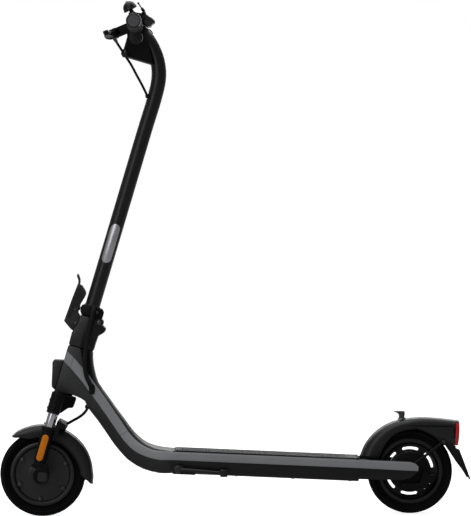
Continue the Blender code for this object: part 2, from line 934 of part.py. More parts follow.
def build_rear_axle():
    shoulder = ARM_INNER - SEAT_GAP
    hub = RIM_HALF_WIDTH + TURNING_GAP
    end = DECK_HALF_WIDTH - 0.004
    profile = [
        (0.0, end),
        (REAR_AXLE_RADIUS, end),
        (REAR_AXLE_RADIUS, shoulder),
        (REAR_SPACER_RADIUS, shoulder),
        (REAR_SPACER_RADIUS, hub),
        (REAR_AXLE_RADIUS, hub),
        (REAR_AXLE_RADIUS, -hub),
        (REAR_SPACER_RADIUS, -hub),
        (REAR_SPACER_RADIUS, -shoulder),
        (REAR_AXLE_RADIUS, -shoulder),
        (REAR_AXLE_RADIUS, -end),
        (0.0, -end),
    ]
    return turned("rear_axle", profile, REAR_AXLE, dark_steel(), 24)


def build_brake_backing():
    """Fixed plate that closes the brake drum on the left of the rear wheel."""
    face = -RIM_HALF_WIDTH - TURNING_GAP
    plate = cross_rod(
        "brake_backing_plate", 0.046, (0.0, 0.0), face - 0.004, face, REAR_AXLE, dark_steel(), 40
    )
    ear = side_plate(
        "backing_ear",
        [
            (0.030, 0.004),
            (0.044, -0.008),
            (0.060, -0.006),
            (0.060, -0.016),
            (0.046, -0.028),
            (0.020, -0.034),
        ],
        -ARM_INNER + 0.012,
        face - 0.001,
        REAR_AXLE,
    )
    anchor = side_plate(
        "brake_anchor",
        [(-0.024, -0.029), (0.043, -0.028), (0.046, -0.033), (0.041, -0.041), (-0.022, -0.041)],
        -ARM_INNER + 0.014,
        face - 0.0015,
        REAR_AXLE,
    )
    hole = cross_rod(
        "backing_hole", REAR_SPACER_RADIUS + SEAT_GAP, (0.0, 0.0), -0.06, 0.0, REAR_AXLE
    )
    arm_pin = cross_rod("brake_arm_pin", 0.004, (-0.030, 0.012), face - 0.0125, face - 0.001, REAR_AXLE)
    join(plate, ear, anchor, arm_pin)
    cut(plate, hole)
    return plate


def build_brake_arm():
    """Small arm that the brake's inner cable turns on the backing plate."""
    low = -RIM_HALF_WIDTH - TURNING_GAP - 0.0105
    high = low + 0.005
    outline = arc((-0.030, 0.012), 0.008, -90, 90, 6) + [(-0.052, 0.019), (-0.052, 0.009)]
    arm = side_plate("brake_arm", outline, low, high, REAR_AXLE, dark_steel())
    cut(arm, cross_rod("brake_arm_hole", 0.0043, (-0.030, 0.012), low - 0.01, high + 0.01, REAR_AXLE))
    return arm


def bead_profile(half_width, inner, outer, crown):
    """Closed tyre section: (radius, height) from bead to bead."""
    bead = RIM_HALF_WIDTH - 0.001
    side = [
        (inner, bead),
        (inner + 0.004, bead + 0.002),
        (inner + 0.010, half_width - 0.0015),
        (inner + 0.015, half_width),
        (outer - 0.0065, half_width - 0.003),
        (outer - 0.0018, half_width - crown),
        (outer - 0.0002, half_width * 0.35),
    ]
    return side + [(outer, 0.0)] + [(r, -h) for r, h in reversed(side)]


def build_tyre(name, parent):
    profile = bead_profile(TYRE_WIDTH / 2, RIM_RADIUS + SEAT_GAP, TYRE_RADIUS, 0.010)
    return turned(name, profile, parent, rubber(), 40)


def build_rear_rim():
    half = RIM_HALF_WIDTH
    profile = [
        (REAR_AXLE_RADIUS + PIN_GAP, half),
        (0.018, half),
        (0.024, 0.008),
        (0.066, 0.006),
        (0.069, half),
        (RIM_RADIUS, half),
        (RIM_RADIUS, -half),
        (0.069, -half),
        (0.066, -0.004),
        (0.0475, -0.004),
        (0.0475, -half),
        (DRUM_RADIUS, -half),
        (DRUM_RADIUS, 0.003),
        (0.014, 0.003),
        (0.014, -half),
        (REAR_AXLE_RADIUS + PIN_GAP, -half),
    ]
    rim = turned("rear_rim", profile, REAR_AXLE, black_paint(), 36)
    for index in range(SLOT_COUNT):
        middle = 360 * index / SLOT_COUNT + 28
        reach = math.degrees(SLOT_SWEEP) / 2
        outer = arc((0.0, 0.0), SLOT_RADIUS + SLOT_WIDTH / 2, middle - reach, middle + reach, 5)
        inner = arc((0.0, 0.0), SLOT_RADIUS - SLOT_WIDTH / 2, middle + reach, middle - reach, 5)
        cut(rim, side_plate("rim_slot_%d" % index, outer + inner, -0.02, 0.02, REAR_AXLE))
    return rim


def build_motor_shell():
    """Hub motor shell with its closed right side, open on the left for the cover."""
    half = RIM_HALF_WIDTH
    bore = FRONT_AXLE_RADIUS + PIN_GAP
    profile = [
        (bore, half + 0.006),
        (0.016, half + 0.006),
        (0.020, half),
        (0.060, half),
        (0.066, half),
        (RIM_RADIUS, half),
        (RIM_RADIUS, -half),
        (0.068, -half),
        (0.068, half - 0.004),
        (bore, half - 0.004),
    ]
    return turned("motor_shell", profile, FRONT_AXLE, black_paint(), 36)


def build_hub_cover():
    """Dished cover with a raised lip, bolted to the shell at six lobes."""
    bore = FRONT_AXLE_RADIUS + PIN_GAP
    face = -RIM_HALF_WIDTH - SEAT_GAP
    profile = [
        (bore, face + 0.004),
        (0.060, face + 0.004),
        (0.0676, face + 0.004),
        (0.0676, face),
        (RIM_RADIUS - 0.0005, face),
        (RIM_RADIUS - 0.0010, face - 0.0045),
        (0.0690, face - 0.0060),
        (0.0655, face - 0.0035),
        (0.0640, face + 0.0012),
        (0.0300, face + 0.0008),
        (0.0240, face - 0.0035),
        (bore, face - 0.0035),
    ]
    cover = turned("hub_cover", profile, FRONT_AXLE, black_paint(), 36)
    for index in range(LOBE_COUNT):
        angle = math.radians(24 + 60 * index)
        centre = (0.0600 * math.cos(angle), 0.0600 * math.sin(angle))
        join(
            cover,
            cross_rod(
                "cover_lobe_%d" % index, 0.0075, centre, face - 0.0022, face + 0.002, FRONT_AXLE, sides=12
            ),
        )
    return cover


def build_motor_stator():
    half = RIM_HALF_WIDTH
    end = LEG_Y + 0.006
    profile = [
        (0.0, end),
        (FRONT_AXLE_RADIUS, end),
        (FRONT_AXLE_RADIUS, half - 0.006),
        (0.020, half - 0.006),
        (0.020, half - 0.009),
        (STATOR_RADIUS, half - 0.009),
        (STATOR_RADIUS, -half + 0.010),
        (0.020, -half + 0.010),
        (0.020, -half + 0.007),
        (FRONT_AXLE_RADIUS, -half + 0.007),
        (FRONT_AXLE_RADIUS, -end),
        (0.0, -end),
    ]
    return turned("motor_stator", profile, FRONT_AXLE, dark_steel(), 20)


def build_fork_crown():
    """Steering tube, crown and the two cups that hold the stanchions."""
    tube_profile = [
        (STEERER_RADIUS - STEERER_WALL, STEERER_TOP),
        (STEERER_RADIUS, STEERER_TOP),
        (STEERER_RADIUS, CROWN_TOP - 0.010),
        (STEERER_RADIUS - STEERER_WALL, CROWN_TOP - 0.010),
    ]
    crown = turned("fork_crown", tube_profile, STEERING, black_paint(), 32, axis=(0.0, 0.0, 1.0))
    bridge_outline = [
        (-0.0270, CROWN_TOP),
        (0.0242, CROWN_TOP),
        (0.0261, CROWN_TOP - 0.002),
        (0.0250, 0.1731),
        (0.0146, 0.1700),
        (0.0034, 0.1566),
        (-0.0049, 0.1500),
        (-0.0270, 0.1560),
    ]
    bridge = side_plate("crown_bridge", bridge_outline, -LEG_Y, LEG_Y, STEERING)
    bridge_core = rod(
        "crown_core", STEERER_RADIUS - STEERER_WALL, (0, 0, 0.1755), (0, 0, 0.25), STEERING, sides=32
    )
    cut(bridge, bridge_core)
    for side, name in ((-1, "left"), (1, "right")):
        corner = [(0.0290, side * 0.0240), (0.0262, side * 0.0240), (-0.0005, side * LEG_Y),
                  (-0.0005, side * 0.0600), (0.0290, side * 0.0600)]
        cut(bridge, top_plate("crown_corner_" + name, corner, 0.14, 0.21, STEERING))
    join(crown, bridge)
    for side, name in ((-1, "left"), (1, "right")):
        y = side * LEG_Y
        cup = rod(
            "cup_" + name,
            CUP_RADIUS,
            (STANCHION_X, y, 0.1500),
            (STANCHION_X, y, CROWN_TOP + 0.0045),
            STEERING,
            sides=32,
        )
        bore = rod(
            "cup_bore_" + name,
            STANCHION_RADIUS + SEAT_GAP,
            (STANCHION_X, y, 0.1400),
            (STANCHION_X, y, 0.1920),
            STEERING,
        )
        join(crown, cup)
        cut(crown, bore)
    return crown


def build_stanchion(side, name):
    y = side * LEG_Y
    return rod(
        name, STANCHION_RADIUS, (STANCHION_X, y, 0.0700), (STANCHION_X, y, 0.1915), STEERING, chrome()
    )


LEG_FOOT = (-0.0125, 0.0150)


def leg_centre(z):
    """How far behind the steering axis the leg's centre line is at a height above the axle."""
    share = (z - LEG_FOOT[1]) / (LEG_TOP - LEG_FOOT[1])
    return LEG_FOOT[0] + (STANCHION_X - LEG_FOOT[0]) * share


def build_fork_leg(side, name):
    """Lower leg: a tube over the stanchion that ends in a round dropout at the axle."""
    y = side * LEG_Y
    leg = rod(
        name,
        LEG_RADIUS,
        (LEG_FOOT[0], y, LEG_FOOT[1]),
        (STANCHION_X, y, LEG_TOP),
        STEERING,
        black_paint(),
        sides=28,
    )
    low, high = sorted((side * (LEG_Y - 0.009), side * (LEG_Y + LEG_RADIUS)))
    dropout = cross_rod(
        "dropout_" + name, 0.0195, (0.0, 0.0), low, high, STEERING
    )
    bore = rod(
        "leg_bore_" + name,
        STANCHION_RADIUS + PIN_GAP,
        (STANCHION_X, y, 0.0700 - SUSPENSION_TRAVEL - 0.002),
        (STANCHION_X, y, LEG_TOP + 0.01),
        STEERING,
    )
    inner_face = side * (LEG_Y - 0.02)
    axle_end = side * (LEG_Y + 0.0065)
    low, high = sorted((inner_face, axle_end))
    seat = cross_rod(
        "axle_seat_" + name, FRONT_AXLE_RADIUS + SEAT_GAP, (0.0, 0.0), low, high, STEERING
    )
    seal = rod(
        "leg_seal_" + name,
        LEG_RADIUS + 0.0012,
        (STANCHION_X, y, LEG_TOP - 0.0065),
        (STANCHION_X, y, LEG_TOP + 0.0005),
        STEERING,
        sides=28,
    )
    join(leg, dropout, seal)
    cut(leg, bore, seat)
    return leg


def build_fork_brace():
    """Bridge over the fender that ties the two legs together from behind."""
    floor = FRONT_FENDER_RADIUS + 2 * SEAT_GAP
    top = floor + 0.0123
    front = LEG_RADIUS + STANCHION_X + 0.0012 + SEAT_GAP
    outline = [(front, top + 0.0040), (0.0229, top), (0.0241, floor), (front, floor)]
    half = LEG_Y + 0.005
    brace = side_plate("fork_brace", outline, -half, half, STEERING, black_paint())
    tab_foot = leg_centre(0.0860) + LEG_RADIUS + 2 * SEAT_GAP
    tab_outline = [
        (tab_foot, 0.0860),
        (tab_foot, LEG_TOP - 0.0068),
        (front, LEG_TOP - 0.0068),
        (front, top - 0.003),
        (0.0100, top - 0.003),
        (0.0100, 0.0860),
    ]
    for side, name in ((-1, "left"), (1, "right")):
        low, high = sorted((side * (half - 0.010), side * (half - 0.0005)))
        join(brace, side_plate("brace_tab_" + name, tab_outline, low, high, STEERING))
    return brace


def build_front_fender():
    outer = []
    for degrees, radius in (
        (128.7, 0.1175),
        (121, 0.1190),
        (112, FRONT_FENDER_RADIUS),
        (100, FRONT_FENDER_RADIUS),
        (87, FRONT_FENDER_RADIUS),
        (74, FRONT_FENDER_RADIUS),
        (61, FRONT_FENDER_RADIUS),
        (48, 0.1194),
        (35, 0.1202),
        (23, 0.1206),
        (11, 0.1208),
        (2, 0.1210),
        (-4, 0.1225),
        (-12, 0.1235),
    ):
        angle = math.radians(degrees)
        outer.append((radius * math.cos(angle), radius * math.sin(angle)))
    edge = []
    for degrees, radius in (
        (127, 0.1120),
        (119, 0.1020),
        (109, 0.0920),
        (99, 0.0910),
        (87, 0.0890),
        (74, 0.0870),
        (61, 0.0865),
        (48, 0.0865),
        (35, 0.0868),
        (23, 0.0890),
        (11, 0.0915),
        (3, 0.0935),
        (-2, 0.0955),
        (-7.5, 0.1060),
    ):
        angle = math.radians(degrees)
        edge.append((radius * math.cos(angle), radius * math.sin(angle)))
    return arched_shell(
        "front_fender", outer, edge, FENDER_HALF_WIDTH, 0.006, FENDER_WALL, FRONT_AXLE, black_plastic()
    )


def build_reflector(side, name):
    face = LEG_Y + LEG_RADIUS + SEAT_GAP
    low, high = sorted((side * face, side * (face + 0.003)))
    outline = stadium((-0.0158, 0.0647), REFLECTOR_LENGTH, REFLECTOR_WIDTH)
    return side_plate(name, outline, low, high, STEERING, amber())


def build_axle_cap(side, name):
    start = side * (LEG_Y + LEG_RADIUS + SEAT_GAP)
    end = side * (LEG_Y + LEG_RADIUS + 0.0040)
    return rod(
        name, 0.0215, (0, start, 0), (0, end, 0), STEERING, black_plastic(), sides=32, end_radius=0.0185
    )


def build_motor_cable():
    """Motor lead from the neck to its clip behind the fork brace, and down to the axle."""
    route = [
        (0.0584, 0.0000, 0.1822),
        (0.0569, -0.0020, 0.1745),
        (0.0519, -0.0050, 0.1637),
        (0.0427, -0.0090, 0.1522),
        (0.0336, -0.0110, 0.1432),
        (0.0236, -0.0120, 0.1326),
    ]
    return tube("motor_cable", catmull_rom(route, 3), 0.0034, STEERING, rubber())


def build_folding_base():
    """Base that turns with the fork and carries the fold and latch pivots."""
    bottom = HEAD_TOP
    outline = [
        (-0.0280, bottom),
        (-0.0290, 0.3450),
        (-0.0268, 0.3570),
        (-0.0215, 0.3720),
        (-0.0205, BASE_TOP),
        (0.0200, BASE_TOP),
        (0.0330, 0.3865),
        (0.0378, 0.3834),
        (0.0450, 0.3792),
        (0.0484, 0.3742),
        (0.0442, 0.3660),
        (0.0343, 0.3553),
        (0.0332, bottom + 0.020),
        (0.0332, bottom),
    ]
    base = side_plate(
        "folding_base", outline, -BASE_HALF_WIDTH, BASE_HALF_WIDTH, STEERING, black_paint()
    )
    bevel(base, 0.004, 2, math.radians(60))
    ears = cross_rod(
        "fold_ears", 0.0095, FOLD_PIVOT, -BASE_HALF_WIDTH + 0.002, BASE_HALF_WIDTH - 0.002, STEERING
    )
    knuckle_room = cross_rod(
        "knuckle_room",
        KNUCKLE_RADIUS + 0.0008,
        FOLD_PIVOT,
        -KNUCKLE_HALF_WIDTH - SEAT_GAP,
        KNUCKLE_HALF_WIDTH + SEAT_GAP,
        STEERING,
    )
    pin_hole = cross_rod(
        "fold_pin_hole", FOLD_PIN_RADIUS + PIN_GAP, FOLD_PIVOT, -0.05, 0.05, STEERING
    )
    latch_room = cross_rod(
        "latch_room",
        LATCH_FOOT_RADIUS + TURNING_GAP,
        LATCH_PIVOT,
        -LATCH_HALF_WIDTH - 0.0006,
        LATCH_HALF_WIDTH + 0.0006,
        STEERING,
        sides=32,
    )
    px, pz = LATCH_PIVOT
    lug = side_plate(
        "latch_lug",
        arc(LATCH_PIVOT, 0.0075, 90, 270, 8) + [(0.0, pz - 0.0075), (0.0, pz + 0.0075)],
        -LATCH_LUG_HALF_WIDTH,
        LATCH_LUG_HALF_WIDTH,
        STEERING,
    )
    lug_hole = cross_rod(
        "latch_lug_hole", LATCH_PIN_RADIUS + PIN_GAP, (px, pz), -0.02, 0.02, STEERING
    )
    steerer_socket = rod(
        "steerer_socket",
        STEERER_RADIUS + SEAT_GAP,
        (0.0, 0.0, bottom - 0.01),
        (0.0, 0.0, STEERER_TOP + 0.001),
        STEERING,
        sides=32,
    )
    wire_way = rod(
        "wire_way", 0.0065, (0.006, 0, STEERER_TOP - 0.01), (0.006, 0, BASE_TOP + 0.01), STEERING
    )
    join(base, ears)
    cut(base, knuckle_room, pin_hole, latch_room)
    join(base, lug)
    cut(base, lug_hole, steerer_socket, wire_way)
    return base


def build_fold_pin():
    reach = BASE_HALF_WIDTH - 0.002
    return cross_rod("fold_pin", FOLD_PIN_RADIUS, FOLD_PIVOT, -reach, reach, STEERING, dark_steel())


def build_stem_collar():
    """Foot of the stem: clamps the tube and folds about the rear pin."""
    floor = BASE_TOP + SEAT_GAP
    outline = [
        (-0.0205, floor),
        (-0.0226, 0.4056),
        (-0.0218, 0.4130),
        (-0.0204, COLLAR_TOP),
        (0.0250, COLLAR_TOP),
        (0.0305, 0.4140),
        (0.0312, 0.4065),
        (0.0308, floor),
    ]
    lug_outline = [
        (-0.0150, 0.4186),
        (-0.0222, 0.4182),
        (-0.0248, 0.4160),
        (-0.0262, 0.4111),
        (-0.0255, 0.4050),
        (-0.0238, 0.3985),
        (-0.0190, floor + 0.0006),
        (-0.0150, floor + 0.0006),
    ]
    half = 0.0215
    collar = side_plate("stem_collar", outline, -half, half, STEERING, black_paint())
    bevel(collar, 0.0015, 2, math.radians(60))
    ear_room = []
    for side, name in ((-1, "left"), (1, "right")):
        low, high = sorted((side * KNUCKLE_HALF_WIDTH, side * 0.04))
        ear_room.append(cross_rod("ear_room_" + name, 0.0105, FOLD_PIVOT, low, high, STEERING))
    inner_half = KNUCKLE_HALF_WIDTH - SEAT_GAP
    knuckle = cross_rod("fold_knuckle", KNUCKLE_RADIUS, FOLD_PIVOT, -inner_half, inner_half, STEERING)
    pin_hole = cross_rod("knuckle_hole", FOLD_PIN_RADIUS + PIN_GAP, FOLD_PIVOT, -0.05, 0.05, STEERING)
    bore = rod(
        "stem_socket",
        STEM_RADIUS + SEAT_GAP,
        (0.0, 0.0, floor + 0.003),
        (0.0, 0.0, COLLAR_TOP + 0.02),
        STEERING,
        sides=32,
    )
    wire_way = rod("collar_wire_way", 0.012, (0, 0, floor - 0.02), (0, 0, floor + 0.02), STEERING)
    lug = side_plate(
        "collar_lug", lug_outline, -LATCH_LUG_HALF_WIDTH, LATCH_LUG_HALF_WIDTH, STEERING
    )
    cut(collar, *ear_room)
    join(collar, knuckle, lug)
    cut(collar, pin_hole, bore, wire_way)
    return collar


def gooseneck_points():
    """Centre line of the stem tube in the steering frame: straight, then forward to the bar."""
    bend = [
        (0.0009, 0.9286),
        (0.0000, 0.9637),
        (-0.0024, 0.9880),
        (-0.0085, 1.0113),
        (-0.0189, 1.0335),
        (-0.0338, 1.0542),
        (-0.0516, 1.0716),
        (-0.0703, 1.0836),
        BAR_CENTRE,
    ]
    start = BASE_TOP + SEAT_GAP + 0.0033
    smooth = catmull_rom([(x, 0.0, z) for x, z in bend], 1)
    return [(0.0, 0.0, start)] + [tuple(point) for point in smooth]


def build_stem_tube():
    curve = tube_curve(gooseneck_points(), STEM_RADIUS - STEM_WALL, 6, caps=False)
    mesh = mesh_from_curve(curve)
    smooth_shading(mesh)
    stem = place("stem_tube", mesh, STEERING, black_paint())
    wall = stem.modifiers.new("tube wall", "SOLIDIFY")
    wall.thickness = STEM_WALL
    wall.offset = 1.0
    bar_room = cross_rod("bar_room", BAR_RADIUS + SEAT_GAP, BAR_CENTRE, -0.04, 0.04, STEERING, sides=32)
    x, z = BAR_CENTRE
    end_cut = side_plate(
        "gooseneck_end",
        [(x, z + 0.06), (x, z - 0.06), (x - 0.06, z - 0.06), (x - 0.06, z + 0.06)],
        -0.04,
        0.04,
        STEERING,
    )
    cut(stem, bar_room, end_cut)
    return stem


def build_stem_plate():
    """Thin curved plate on the left of the stem, left bare."""
    ring = [
        (STEM_RADIUS + SEAT_GAP, PLATE_CENTRE + PLATE_LENGTH),
        (STEM_RADIUS + SEAT_GAP + 0.0010, PLATE_CENTRE + PLATE_LENGTH),
        (STEM_RADIUS + SEAT_GAP + 0.0010, PLATE_CENTRE - PLATE_LENGTH),
        (STEM_RADIUS + SEAT_GAP, PLATE_CENTRE - PLATE_LENGTH),
    ]
    plate = turned("stem_plate", ring, STEERING, silver(), 48, axis=(0.0, 0.0, 1.0))
    blank = side_plate(
        "plate_outline", stadium((0.0, PLATE_CENTRE), PLATE_LENGTH, PLATE_WIDTH), -0.03, 0.0, STEERING
    )
    apply_boolean(plate, blank, "INTERSECT")
    return plate


def build_handlebar():
    end = BAR_LENGTH / 2 - 0.004
    profile = [
        (BAR_RADIUS - BAR_WALL, end),
        (BAR_RADIUS, end),
        (BAR_RADIUS, -end),
        (BAR_RADIUS - BAR_WALL, -end),
    ]
    return turned("handlebar", profile, BAR, black_paint(), 28)


def build_grip(side, name):
    end = BAR_LENGTH / 2
    start = end - GRIP_LENGTH
    inner = BAR_RADIUS + SEAT_GAP
    profile = [
        (0.0, end),
        (GRIP_RADIUS - 0.003, end),
        (GRIP_RADIUS, end - 0.003),
        (GRIP_RADIUS, start + 0.006),
        (GRIP_RADIUS + 0.001, start + 0.004),
        (GRIP_RADIUS + 0.001, start),
        (inner, start),
        (inner, end - 0.0035),
        (0.0, end - 0.0035),
    ]
    return turned(name, profile, BAR, rubber(), 24, axis=(0.0, side, 0.0))


def build_head_housing():
    """Headlight and display housing in the curve of the gooseneck, clamped on the bar."""
    outline = [
        (-0.0240, 1.0190),
        (-0.0970, 1.0190),
        (-0.1035, 1.0235),
        (-0.1037, 1.0660),
        (-0.1100, 1.0800),
        (-0.1100, 1.0990),
        (-0.0980, 1.1120),
        (-0.0650, 1.1006),
        (-0.0640, 1.0820),
        (-0.0450, 1.0560),
    ]
    half = 0.0255
    housing = side_plate("head_housing", outline, -half, half, STEERING, black_plastic())
    bevel(housing, 0.004, 2, math.radians(60))
    bar_bore = cross_rod(
        "housing_bar_bore", BAR_RADIUS + SEAT_GAP, BAR_CENTRE, -0.05, 0.05, STEERING, sides=32
    )
    room_curve = tube_curve(gooseneck_points()[-8:], STEM_RADIUS + SEAT_GAP, 6)
    room = place("gooseneck_room", mesh_from_curve(room_curve), STEERING, None)
    lens_room = rod(
        "lens_room", 0.0175, (-0.0995, 0.0, 1.0435), (-0.12, 0.0, 1.0435), STEERING, sides=32
    )
    cut(housing, bar_bore, room, lens_room)
    return housing


def build_headlight_lens():
    return rod(
        "headlight_lens",
        0.0170,
        (-0.0998, 0.0, 1.0435),
        (-0.1036, 0.0, 1.0435),
        STEERING,
        clear_lens(),
        sides=32,
    )


DISPLAY_TOP = (-0.0822, 1.1332)
DISPLAY_REAR = (-0.0499, 1.1215)


def display_button_frame():
    """Centre and outward normal of the mode button on the display's sloping face."""
    top = Vector(DISPLAY_TOP)
    rear = Vector(DISPLAY_REAR)
    centre = top + (rear - top) * 0.68
    slope = (rear - top).normalized()
    normal = Vector((-slope.y, slope.x))
    if normal.y < 0:
        normal = -normal
    return centre, normal


def build_display_cover():
    outline = [
        (-0.0980, 1.1124),
        (-0.0940, 1.1260),
        DISPLAY_TOP,
        DISPLAY_REAR,
        (-0.0500, 1.1177),
        (-0.0547, 1.1125),
        (-0.0562, 1.1066),
        (-0.0640, 1.1026),
        (-0.0690, 1.1038),
    ]
    display = side_plate("display_cover", outline, -0.021, 0.021, STEERING, black_plastic())
    bevel(display, 0.0015, 1, math.radians(60))
    centre, normal = display_button_frame()
    floor = centre - normal * 0.005
    above = centre + normal * 0.01
    pocket = rod(
        "button_pocket",
        BUTTON_RADIUS + SEAT_GAP,
        (floor.x, 0.0, floor.y),
        (above.x, 0.0, above.y),
        STEERING,
    )
    cut(display, pocket)
    return display


def build_mode_button():
    centre, normal = display_button_frame()
    low = centre - normal * (0.005 - BUTTON_TRAVEL - 0.0005)
    high = centre + normal * 0.0018
    return rod(
        "mode_button", BUTTON_RADIUS, (low.x, 0.0, low.y), (high.x, 0.0, high.y), STEERING, rubber()
    )


def control_point(reach, height, y):
    """Point in the bar frame: reach along the tilted brake plane, height across it."""
    cosine = math.cos(CONTROL_PLANE_TILT)
    sine = math.sin(CONTROL_PLANE_TILT)
    return (-reach * cosine - height * sine, y, -reach * sine + height * cosine)


def control_plate(name, outline, low, high, surface=None):
    """Extrude (reach, y) points across the tilted plane of the brake lever."""
    mesh = outline_mesh([(reach, y) for reach, y in outline], -high, -low)
    mesh.transform(Matrix.Rotation(-math.pi / 2, 4, "X"))
    cosine = math.cos(CONTROL_PLANE_TILT)
    sine = math.sin(CONTROL_PLANE_TILT)
    lay = Matrix(((-cosine, 0, -sine, 0), (0, 1, 0, 0), (-sine, 0, cosine, 0), (0, 0, 0, 1)))
    mesh.transform(lay)
    shape = bmesh.new()
    shape.from_mesh(mesh)
    bmesh.ops.recalc_face_normals(shape, faces=shape.faces)
    shape.to_mesh(mesh)
    shape.free()
    return place(name, mesh, BAR, surface)


def build_brake_bracket():
    """Clamp on the bar with the fork of the brake lever, the bell's seat and its striker's post."""
    inner = BRAKE_Y + 0.012
    outer = BRAKE_Y - 0.012
    bracket = cross_rod("brake_bracket", CLAMP_RADIUS, (0.0, 0.0), outer, inner, BAR, black_plastic(), 32)
    reach = BRAKE_PIVOT_REACH
    fork = [
        (0.010, outer),
        (reach + 0.004, outer),
        (reach + 0.008, BRAKE_Y),
        (reach + 0.004, inner),
        (0.010, inner),
    ]
    upper = control_plate("bracket_upper", fork, 0.0062, 0.0118)
    lower = control_plate("bracket_lower", fork, -0.0104, -0.0062)
    root = control_plate(
        "bracket_root", [(0.010, outer), (0.0390, outer), (0.0390, inner), (0.010, inner)], -0.0096, 0.0110
    )
    pin = rod(
        "brake_pivot_pin",
        0.003,
        control_point(reach, -0.007, BRAKE_Y),
        control_point(reach, 0.007, BRAKE_Y),
        BAR,
    )
    bell_seat = side_plate(
        "bell_seat",
        [(-0.0120, 0.0120), (-0.0150, 0.0285), (-0.0110, 0.0332), (-0.0030, 0.0345), (0.0030, 0.0310),
         (0.0150, 0.0290), (0.0205, 0.0338), (0.0268, 0.0320), (0.0268, 0.0265), (0.0130, 0.0130)],
        BRAKE_Y - 0.003,
        BRAKE_Y + 0.003,
        BAR,
    )
    seat_low, seat_high = bell_axis_points(-0.007, 0.006)
    bell_post = rod("bell_post", 0.005, seat_low, seat_high, BAR)
    hole = cross_rod("bracket_bar_hole", BAR_RADIUS + SEAT_GAP, (0.0, 0.0), -0.2, 0.0, BAR, sides=32)
    striker_hole = cross_rod(
        "striker_hole", 0.0018, (0.0240, 0.0293), BRAKE_Y - 0.01, BRAKE_Y + 0.01, BAR, sides=12
    )
    join(bracket, root, upper, lower, pin, bell_seat, bell_post)
    cut(bracket, hole, striker_hole)
    return bracket


def bell_axis_points(low, high):
    """Two points on the bell's axis, at heights above its seat, in the bar frame."""
    base = Vector((-0.0089, BRAKE_Y, 0.0368))
    axis = Vector((-math.sin(BELL_TILT), 0.0, math.cos(BELL_TILT)))
    return tuple(base + axis * low), tuple(base + axis * high)


def build_bell_dome():
    low, high = bell_axis_points(0.0, 1.0)
    axis = tuple(h - l for l, h in zip(low, high))
    wall = 0.0015
    outer = []
    for i in range(6):
        angle = math.pi / 2 * i / 5
        outer.append((BELL_RADIUS * math.sin(angle), 0.0045 + (BELL_HEIGHT - 0.0045) * math.cos(angle)))
    outer[0] = (0.0, BELL_HEIGHT)
    outer += [(BELL_RADIUS + 0.0006, 0.0030), (BELL_RADIUS + 0.0006, 0.0012)]
    inner = [(BELL_RADIUS - wall, 0.0012)]
    for i in range(5, -1, -1):
        angle = math.pi / 2 * i / 5
        radius = (BELL_RADIUS - wall) * math.sin(angle)
        inner.append((radius, 0.0045 + (BELL_HEIGHT - 0.0060) * math.cos(angle)))
    inner[-1] = (0.0, 0.0065)
    inner[-2] = (0.0040, 0.0065)
    inner[-3] = (0.0045, 0.0170)
    return turned("bell_dome", outer + inner, BAR, dark_steel(), 20, centre=low, axis=axis)


def build_bell_striker():
    """Sprung arm with a ball that strikes the bell."""
    y = BRAKE_Y - 0.0035
    arm = tube(
        "bell_striker",
        catmull_rom(
            [
                (0.0240, y - 0.002, 0.0293),
                (0.0206, y - 0.002, 0.0350),
                (0.0150, y - 0.001, 0.0428),
                (0.0096, y, 0.0512),
            ],
            3,
        ),
        0.0016,
        BAR,
        dark_steel(),
    )
    pin = cross_rod("striker_pin", 0.0015, (0.0240, 0.0293), y - 0.003, BRAKE_Y + 0.004, BAR, sides=12)
    ball_shape = bmesh.new()
    bmesh.ops.create_uvsphere(ball_shape, u_segments=12, v_segments=8, radius=0.0028)
    bmesh.ops.translate(ball_shape, vec=(0.0088, y, 0.0525), verts=ball_shape.verts)
    ball_mesh = bpy.data.meshes.new("striker_ball")
    ball_shape.to_mesh(ball_mesh)
    ball_shape.free()
    ball = place("striker_ball", ball_mesh, BAR, None)
    join(arm, pin, ball)
    return arm


def build_brake_lever():
    """Finger lever in front of the left grip."""
    y = BRAKE_Y
    outline = [
        (0.0440, y + 0.0060),
        (0.0560, y + 0.0075),
        (0.0625, y - 0.0020),
        (0.0690, y - 0.0200),
        (0.0742, y - 0.0500),
        (0.0762, y - 0.0900),
        (0.0765, y - 0.1130),
        (0.0745, y - 0.1185),
        (0.0700, y - 0.1195),
        (0.0655, y - 0.1165),
        (0.0635, y - 0.1100),
        (0.0630, y - 0.0900),
        (0.0590, y - 0.0500),
        (0.0520, y - 0.0220),
        (0.0430, y - 0.0080),
    ]
    lever = control_plate("brake_lever", outline, -0.0058, 0.0058, dark_steel())
    hole = rod(
        "lever_hole",
        0.0033,
        control_point(BRAKE_PIVOT_REACH, -0.01, BRAKE_Y),
        control_point(BRAKE_PIVOT_REACH, 0.01, BRAKE_Y),
        BAR,
    )
    cut(lever, hole)
    return lever


def build_brake_cable():
    route = [
        (-0.0480, -0.0755, -0.0320),
        (-0.0410, -0.0650, -0.0430),
        (-0.0310, -0.0470, -0.0580),
        (-0.0228, -0.0370, -0.0710),
        (-0.0108, -0.0290, -0.0890),
        (0.0024, -0.0240, -0.1140),
        (0.0130, -0.0200, -0.1335),
        (0.0222, -0.0165, -0.1520),
        (0.0278, -0.0130, -0.1650),
    ]
    return tube("brake_cable", catmull_rom(route, 3), 0.003, BAR, rubber())


